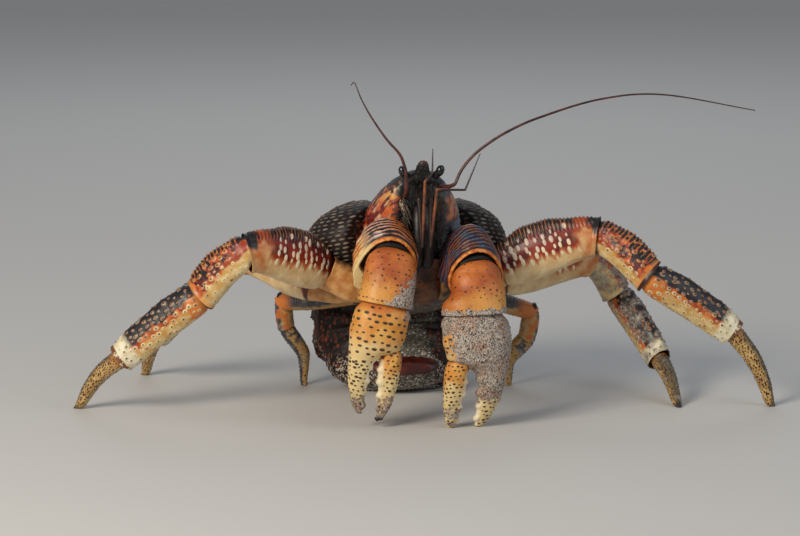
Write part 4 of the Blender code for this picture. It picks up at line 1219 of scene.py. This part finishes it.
def abdomenPaint():
    paint = Paint("abdomen", 0.55, 0.05, 0.3)
    x, y, z = paint.axes()
    before = paint.shaken(y, 30, 14).band(115, 80)
    tone, sand = sandGrains(paint, "33312c", "7c776c", "c9c4b8")
    cover = paint.shaken(1 - x.size() * (1 / 44), 1.3, 14, 3).band(0.15, 0.55) * before
    crust = tone.band(0.72, 0.76) * (paint.noise(16, 2) + (38 - z) * 0.008).band(0.5, 0.7) * before
    knob = paint.blend(paint.number("tone"), "44190d", "7c371c")
    colour = paint.layered(
        paint.mottled("0b0909", "1f1614", 12, 0.35, 0.7), (paint.number("spot").band(1.15, 0.85), knob),
        (cover * 0.85, sand), (crust, "b9b2a6"))
    return paint.finish(colour, 1.2, 0.25)


def tailPaint():
    paint = Paint("tailFan", 0.38, 0.1)
    colour = paint.layered(
        paint.mottled("2c0d0a", "521a10", 9, 0.35, 0.65), (paint.cloud(4, 0.6, 0.72), "1c0d0b"))
    return paint.finish(colour, 1.0)


def buildHead():
    shell = cadShell("head_shield", 0.8, 12)
    gap, _ = spots(shell, thrown(shell, 3.4), (1.1, 1.1, 1.1), 0.4)
    x, y, z = shell.points.T
    streak = np.stack([np.abs(x), y, z], axis=1) @ np.array(body["streakAxes"])
    shell.marks.update({"top": shell.normals[:, 2], "streak": streak})
    frontal = eased(0.25, 0.7, -shell.normals[:, 1])
    central = eased(21, 14, np.abs(x)) * frontal * eased(206, 196, z)
    cheeks = eased(17, 23, np.abs(x)) * eased(38, 30, np.abs(x)) * frontal
    cheeks = cheeks * eased(206, 190, z) * eased(140, 155, z)
    folds = np.clip(np.cos(math.tau * (x + 3 * softNoise(shell.points, 9)) / 5.5), -0.5, 1)
    height = (0.35 + 0.6 * eased(185, 160, z)) * dome(gap) + 0.6 * roughNoise(shell.points, 9)
    height += cheeks * (2.2 + 0.9 * roughNoise(shell.points, 5)) - central * (3.5 - 0.7 * folds)
    shell.raiseBy(height)
    pinch = 1 - (0.12 * eased(201, 209, z) - 0.16 * eased(213, 221, z)) * eased(-36, -48, y)
    shell.write(shell.points * np.stack([pinch, np.ones(len(pinch)), np.ones(len(pinch))], axis=1))
    shell.finish(headPaint(), "carapace")

    shell = cadShell("rear_shield", 0.9, 14)
    gap, _ = spots(shell, thrown(shell, 4.2), (1.3, 1.3, 1.3), 0.4)
    shell.raiseBy(0.45 * dome(gap) + 0.5 * roughNoise(shell.points, 11))
    shell.finish(backPaint(), "carapace")


def buildGillCover(sideName, side, paint):
    shell = cadShell(f"gill_cover_{sideName}", 0.85, 14)
    roll = math.radians(body["gillRoll"]) * side
    offset = shell.points - mirrored(body["gillCentre"], side)
    across = (offset[:, 0] * math.cos(roll) - offset[:, 2] * math.sin(roll)) * side
    rise = offset[:, 0] * math.sin(roll) + offset[:, 2] * math.cos(roll) + 0.22 * offset[:, 1]
    ball = np.stack([across, offset[:, 1], rise], axis=1) / body["gillHalf"]
    ball /= np.linalg.norm(ball, axis=1)[:, None]
    # dashes lie along rings round a pole that looks up and a little outward
    pole = unit(body["gillPole"])
    level = unit(np.cross(pole, (0, 1, 0)))
    far = np.arccos(np.clip(ball @ pole, -1, 1)) * body["gillReach"]
    turn = np.arctan2(ball @ np.cross(level, pole), ball @ level)
    row = np.rint(far / body["rowStep"])
    around = np.maximum(np.sin(row * body["rowStep"] / body["gillReach"]), 0.1) * body["gillReach"]
    whole = np.maximum(np.rint(math.tau * around / body["dashStep"]), 3)
    start = noiseTable[row.astype(int) % noiseCells, 3, 5]
    cell = np.rint(turn / math.tau * whole - start)
    tone = noiseTable[row.astype(int) % noiseCells, cell.astype(int) % noiseCells, 9]
    aside = (turn - (cell + start) / whole * math.tau) * around
    gap = np.hypot(aside / (2.4 + 1.3 * tone), (far - row * body["rowStep"]) / 1.2)
    edge = np.exp(-((ball[:, 1] + 0.12) / 0.03) ** 2)
    shell.marks.update({"spot": gap, "tone": tone, "rim": edge})
    shell.raiseBy(0.7 * dome(gap) + 0.9 * edge + 0.5 * roughNoise(shell.points, 12))
    shell.finish(paint, "gill_cover")


def buildUnderside():
    shell = cadShell("thorax_base", 0.9, 14)
    grooves = 0.9 * np.clip(np.cos(math.tau * shell.points[:, 1] / 17), 0.4, 1) - 0.6
    shell.raiseBy(0.5 * roughNoise(shell.points, 9) + grooves)
    shell.finish(chestPaint(), "underside")


def buildAbdomen():
    shell = cadShell("abdomen", 1.0, 14)
    gap, _ = spots(shell, thrown(shell, 3.6), (1.1, 1.2, 1.6), 0.45)
    pivot = body["abdomenPivot"]
    turn = np.arctan2(shell.points[:, 1] - pivot[0], shell.points[:, 2] - pivot[1])
    shell.raiseBy(0.8 * dome(gap) + 0.7 * roughNoise(shell.points, 12) + 0.7 * np.cos(turn * 9))
    shell.finish(abdomenPaint(), "abdomen")

    shell = cadShell("tail_fan", 0.7, 8)
    shell.raiseBy(0.4 * roughNoise(shell.points, 7))
    shell.finish(tailPaint(), "tail_plate")


buildHead()
coverPaint = gillPaint()
for sideName, side in sides:
    buildGillCover(sideName, side, coverPaint)
buildUnderside()
buildAbdomen()
report("body made")


# Face: eyes, feelers and mouth

face = {
    "eyeCentre": (16, -49, 212), "eyeHalf": (3.6, 3.5, 5.0), "eyeTilt": 20,
    "stalk": ((8, -42, 202), (11, -45, 205), (14, -48, 209), (16, -49, 212)),
    "stalkRadii": (3.4, 3.4, 3.2, 2.4),
    "whips": {
        "left": (
            (27, -58, 201), (32, -58, 212), (40, -58.5, 222.5), (51, -59, 232), (70, -60, 244),
            (98, -61, 256), (150, -59, 270), (205, -53, 272), (287, -45, 256)),
        "right": (
            (-15, -59, 214), (-20, -60, 227), (-31, -58, 240), (-43, -54, 258), (-51, -51, 273),
            (-56, -47, 286), (-59, -46, 284)),
    },
    "whipRadii": (1.35, 0.4),
    "peduncles": {
        "left": ((15, -40, 193), (19, -49, 197), (24, -55, 199), (27, -58, 201)),
        "right": ((-13, -38, 191), (-14, -50, 190), (-14, -57, 197), (-15, -59, 214)),
    },
    "peduncleRadii": (2.2, 2.1, 1.8, 1.5),
    "antennules": {
        "left": (
            (4, -44, 196), (5, -66, 190), (4, -71, 150), (9, -73, 199), (33, -72, 198), (46, -70, 228)),
        "right": (
            (-4, -44, 196), (-5, -66, 190), (-3, -71, 150), (-1, -73, 206), (6, -68, 212), (7, -64, 232)),
    },
    "antennuleRadii": (1.8, 1.5, 1.3, 1.2, 0.9, 0.35),
    "mouth": (
        (4.6, -40, 131), (4.6, -52, 134), (4.4, -60, 146), (4.3, -61, 160), (4.3, -58, 174), (4.2, -53, 183)),
    "mouthRadii": (4.0, 4.2, 4.2, 4.1, 3.9, 2.6), "mouthFlatten": 1.15,
}


def plainPaint(name, dark, light, size=6.0, roughness=0.4, coat=0.2, depth=0.12):
    paint = Paint(name, roughness, coat)
    return paint.finish(paint.mottled(dark, light, size, 0.35, 0.65), depth=depth)


def antennulePaint():  # nearly black at its root and in its fine ends, brown between
    # the near-black root and down-going length are painted shade behind the rising length; the fine ends are
    # dark in their own colour
    paint = Paint("antennule", 0.4, 0.2)
    dark = paint.blend(paint.noise(4, 3), "120c0b", "3a211a")
    brown = paint.mottled("57290f", "8c4c24", 7, 0.35, 0.65)
    return paint.finish(paint.blend(paint.number("rise"), dark, brown), depth=0.1)


def buildEyes():
    eyePaint = plainPaint("eyeBlack", "050506", "0e0e10", 4, 0.14, 0.4, 0.0)
    stalkPaint = plainPaint("eyestalk", "0b0808", "281712", 5)
    for sideName, side in sides:
        shell = Shell(f"eye_{sideName}_shell", addBall(48, 32), [f"eye_{sideName}"])
        egg = shell.points * face["eyeHalf"] * (1 - 0.16 * shell.points[:, 2:])
        tilt = math.radians(face["eyeTilt"]) * side
        turned = ((math.cos(tilt), 0, -math.sin(tilt)), (0, 1, 0), (math.sin(tilt), 0, math.cos(tilt)))
        shell.lay(egg @ np.array(turned) + mirrored(face["eyeCentre"], side))
        shell.finish(eyePaint, "eye")
        path, far, wanted = straight([mirrored(p, side) for p in face["stalk"]], 26)
        radii = np.interp(wanted, far, face["stalkRadii"])
        radii[:3] *= (0.6, 0.85, 0.96)
        shell = tubeShell(f"eyestalk_{sideName}", path, radii, 28, upward)
        shell.finish(stalkPaint, "carapace")


def buildFeelers():
    basePaint = plainPaint("feelerBase", "280f0b", "582416", 5)
    whipPaint = plainPaint("feeler", "27100d", "54251c", 8, 0.45, 0.1)
    rodPaint = antennulePaint()
    for sideName, side in sides:
        _, far, wanted = straight(face["peduncles"][sideName], 60)
        path, _ = curved(face["peduncles"][sideName], 60)
        joints = np.min(np.abs(wanted[:, None] - far[None, 1:3]), axis=1)
        radii = np.interp(wanted, far, face["peduncleRadii"]) * (1 - 0.14 * np.exp(-(joints / 0.8) ** 2))
        radii[:3] *= (0.5, 0.8, 0.95)
        radii[-3:] *= (0.98, 0.9, 0.7)
        shell = tubeShell(f"antenna_base_{sideName}", path, radii, 36, upward)
        shell.finish(basePaint, "feeler_base")

        corners = face["whips"][sideName]
        places, wanted = curved(corners, 900)
        parting = int(np.argmin(np.linalg.norm(places - np.array(corners[len(corners) // 2]), axis=1)))
        radii = np.interp(wanted, (0, wanted[-1]), face["whipRadii"])
        radii = radii * (1 + 0.07 * np.cos(math.tau * wanted / 1.7))
        for k, part in enumerate((slice(0, parting + 1), slice(parting, None))):
            shell = tubeShell(f"antenna_{sideName}_{k + 1}", places[part], radii[part], 14, upward)
            shell.finish(whipPaint, "feeler")

        path, far, wanted = straight(face["antennules"][sideName], 420)
        radii = np.interp(wanted, far, face["antennuleRadii"])
        radii = radii * np.where(wanted > far[4], 1 + 0.08 * np.cos(math.tau * wanted / 1.4), 1)
        shell = tubeShell(f"antennule_{sideName}", path, radii, 18, upward)
        reach = shell.share * far[-1]
        # brown only on the rising length; the rest stays nearly black, painted shade on the root and
        # down-going length
        shell.marks["rise"] = eased(far[2] + 4, far[2] + 22, reach) * eased(far[3] + 5, far[3] - 1, reach)
        shell.finish(rodPaint, "feeler_base")


def buildMouth():
    paint = plainPaint("mouthparts", "080708", "1e1512", 5, 0.45, 0.0)
    for sideName, side in sides:
        path, wanted = curved([mirrored(p, side) for p in face["mouth"]], 90)
        radii = np.interp(wanted, np.linspace(0, wanted[-1], len(face["mouth"])), face["mouthRadii"])
        radii[:4] *= (0.4, 0.7, 0.88, 0.97)
        radii[-4:] *= (0.97, 0.9, 0.75, 0.5)
        shell = tubeShell(f"maxilliped_{sideName}", path, radii, 44, (0, 1, 0.2), face["mouthFlatten"])
        shell.raiseBy(0.3 * roughNoise(shell.points, 4))
        shell.finish(paint, "mouth")


tufts = {
    "pale": {
        "root": (17, -47, 185), "spread": (2, 2, 3), "way": (-0.5, -0.5, -0.8), "fan": 0.3, "length": 11,
        "count": 20},
    "dark": {
        "root": (16, -50, 176), "spread": (3, 3, 14), "way": (-0.35, -0.7, -0.8), "fan": 0.35, "length": 10,
        "count": 40},
}
bristle = {"sides": 6, "rows": 8, "thick": 0.42, "fall": (0, 0, -0.25)}


def buildTuft(kind, sideName, side, paint):
    tuft, hairs = tufts[kind], []
    share = np.linspace(0, 1, bristle["rows"])[:, None]
    for k in range(tuft["count"]):
        root = mirrored(np.array(tuft["root"]) + dice.uniform(-1, 1, 3) * tuft["spread"], side)
        way = mirrored(np.array(tuft["way"]) + dice.uniform(-1, 1, 3) * tuft["fan"], side)
        reach = tuft["length"] * dice.uniform(0.7, 1.1)
        path = root + unit(way) * reach * share + np.array(bristle["fall"]) * reach * share ** 2
        radii = bristle["thick"] * (1 - 0.75 * share[:, 0])
        hairs.append(tubeShell(f"bristle{k}", path, radii, bristle["sides"], forwards, dresses=False).piece)
    pickOnly(hairs[0])
    for hair in hairs:
        hair.select_set(True)
    bpy.ops.object.join()
    shell = Shell(f"bristles_{kind}_{sideName}", bpy.context.object, [])
    shell.lay(shell.points)
    shell.finish(paint, "mouth")


def buildTufts():
    pale = plainPaint("bristlePale", "5c4838", "cbb89c", 3, 0.5, 0.0)
    dark = plainPaint("bristleDarkAndShaded", "17100e", "5a4636", 3, 0.5, 0.0)
    for kind in tufts:
        for sideName, side in sides:
            # painted shade: the pale tuft on the crab's left side, away from the key light, takes the dark
            # bristle paint
            buildTuft(kind, sideName, side, pale if kind == "pale" and side < 0 else dark)


buildEyes()
buildFeelers()
buildMouth()
buildTufts()
report("face made")
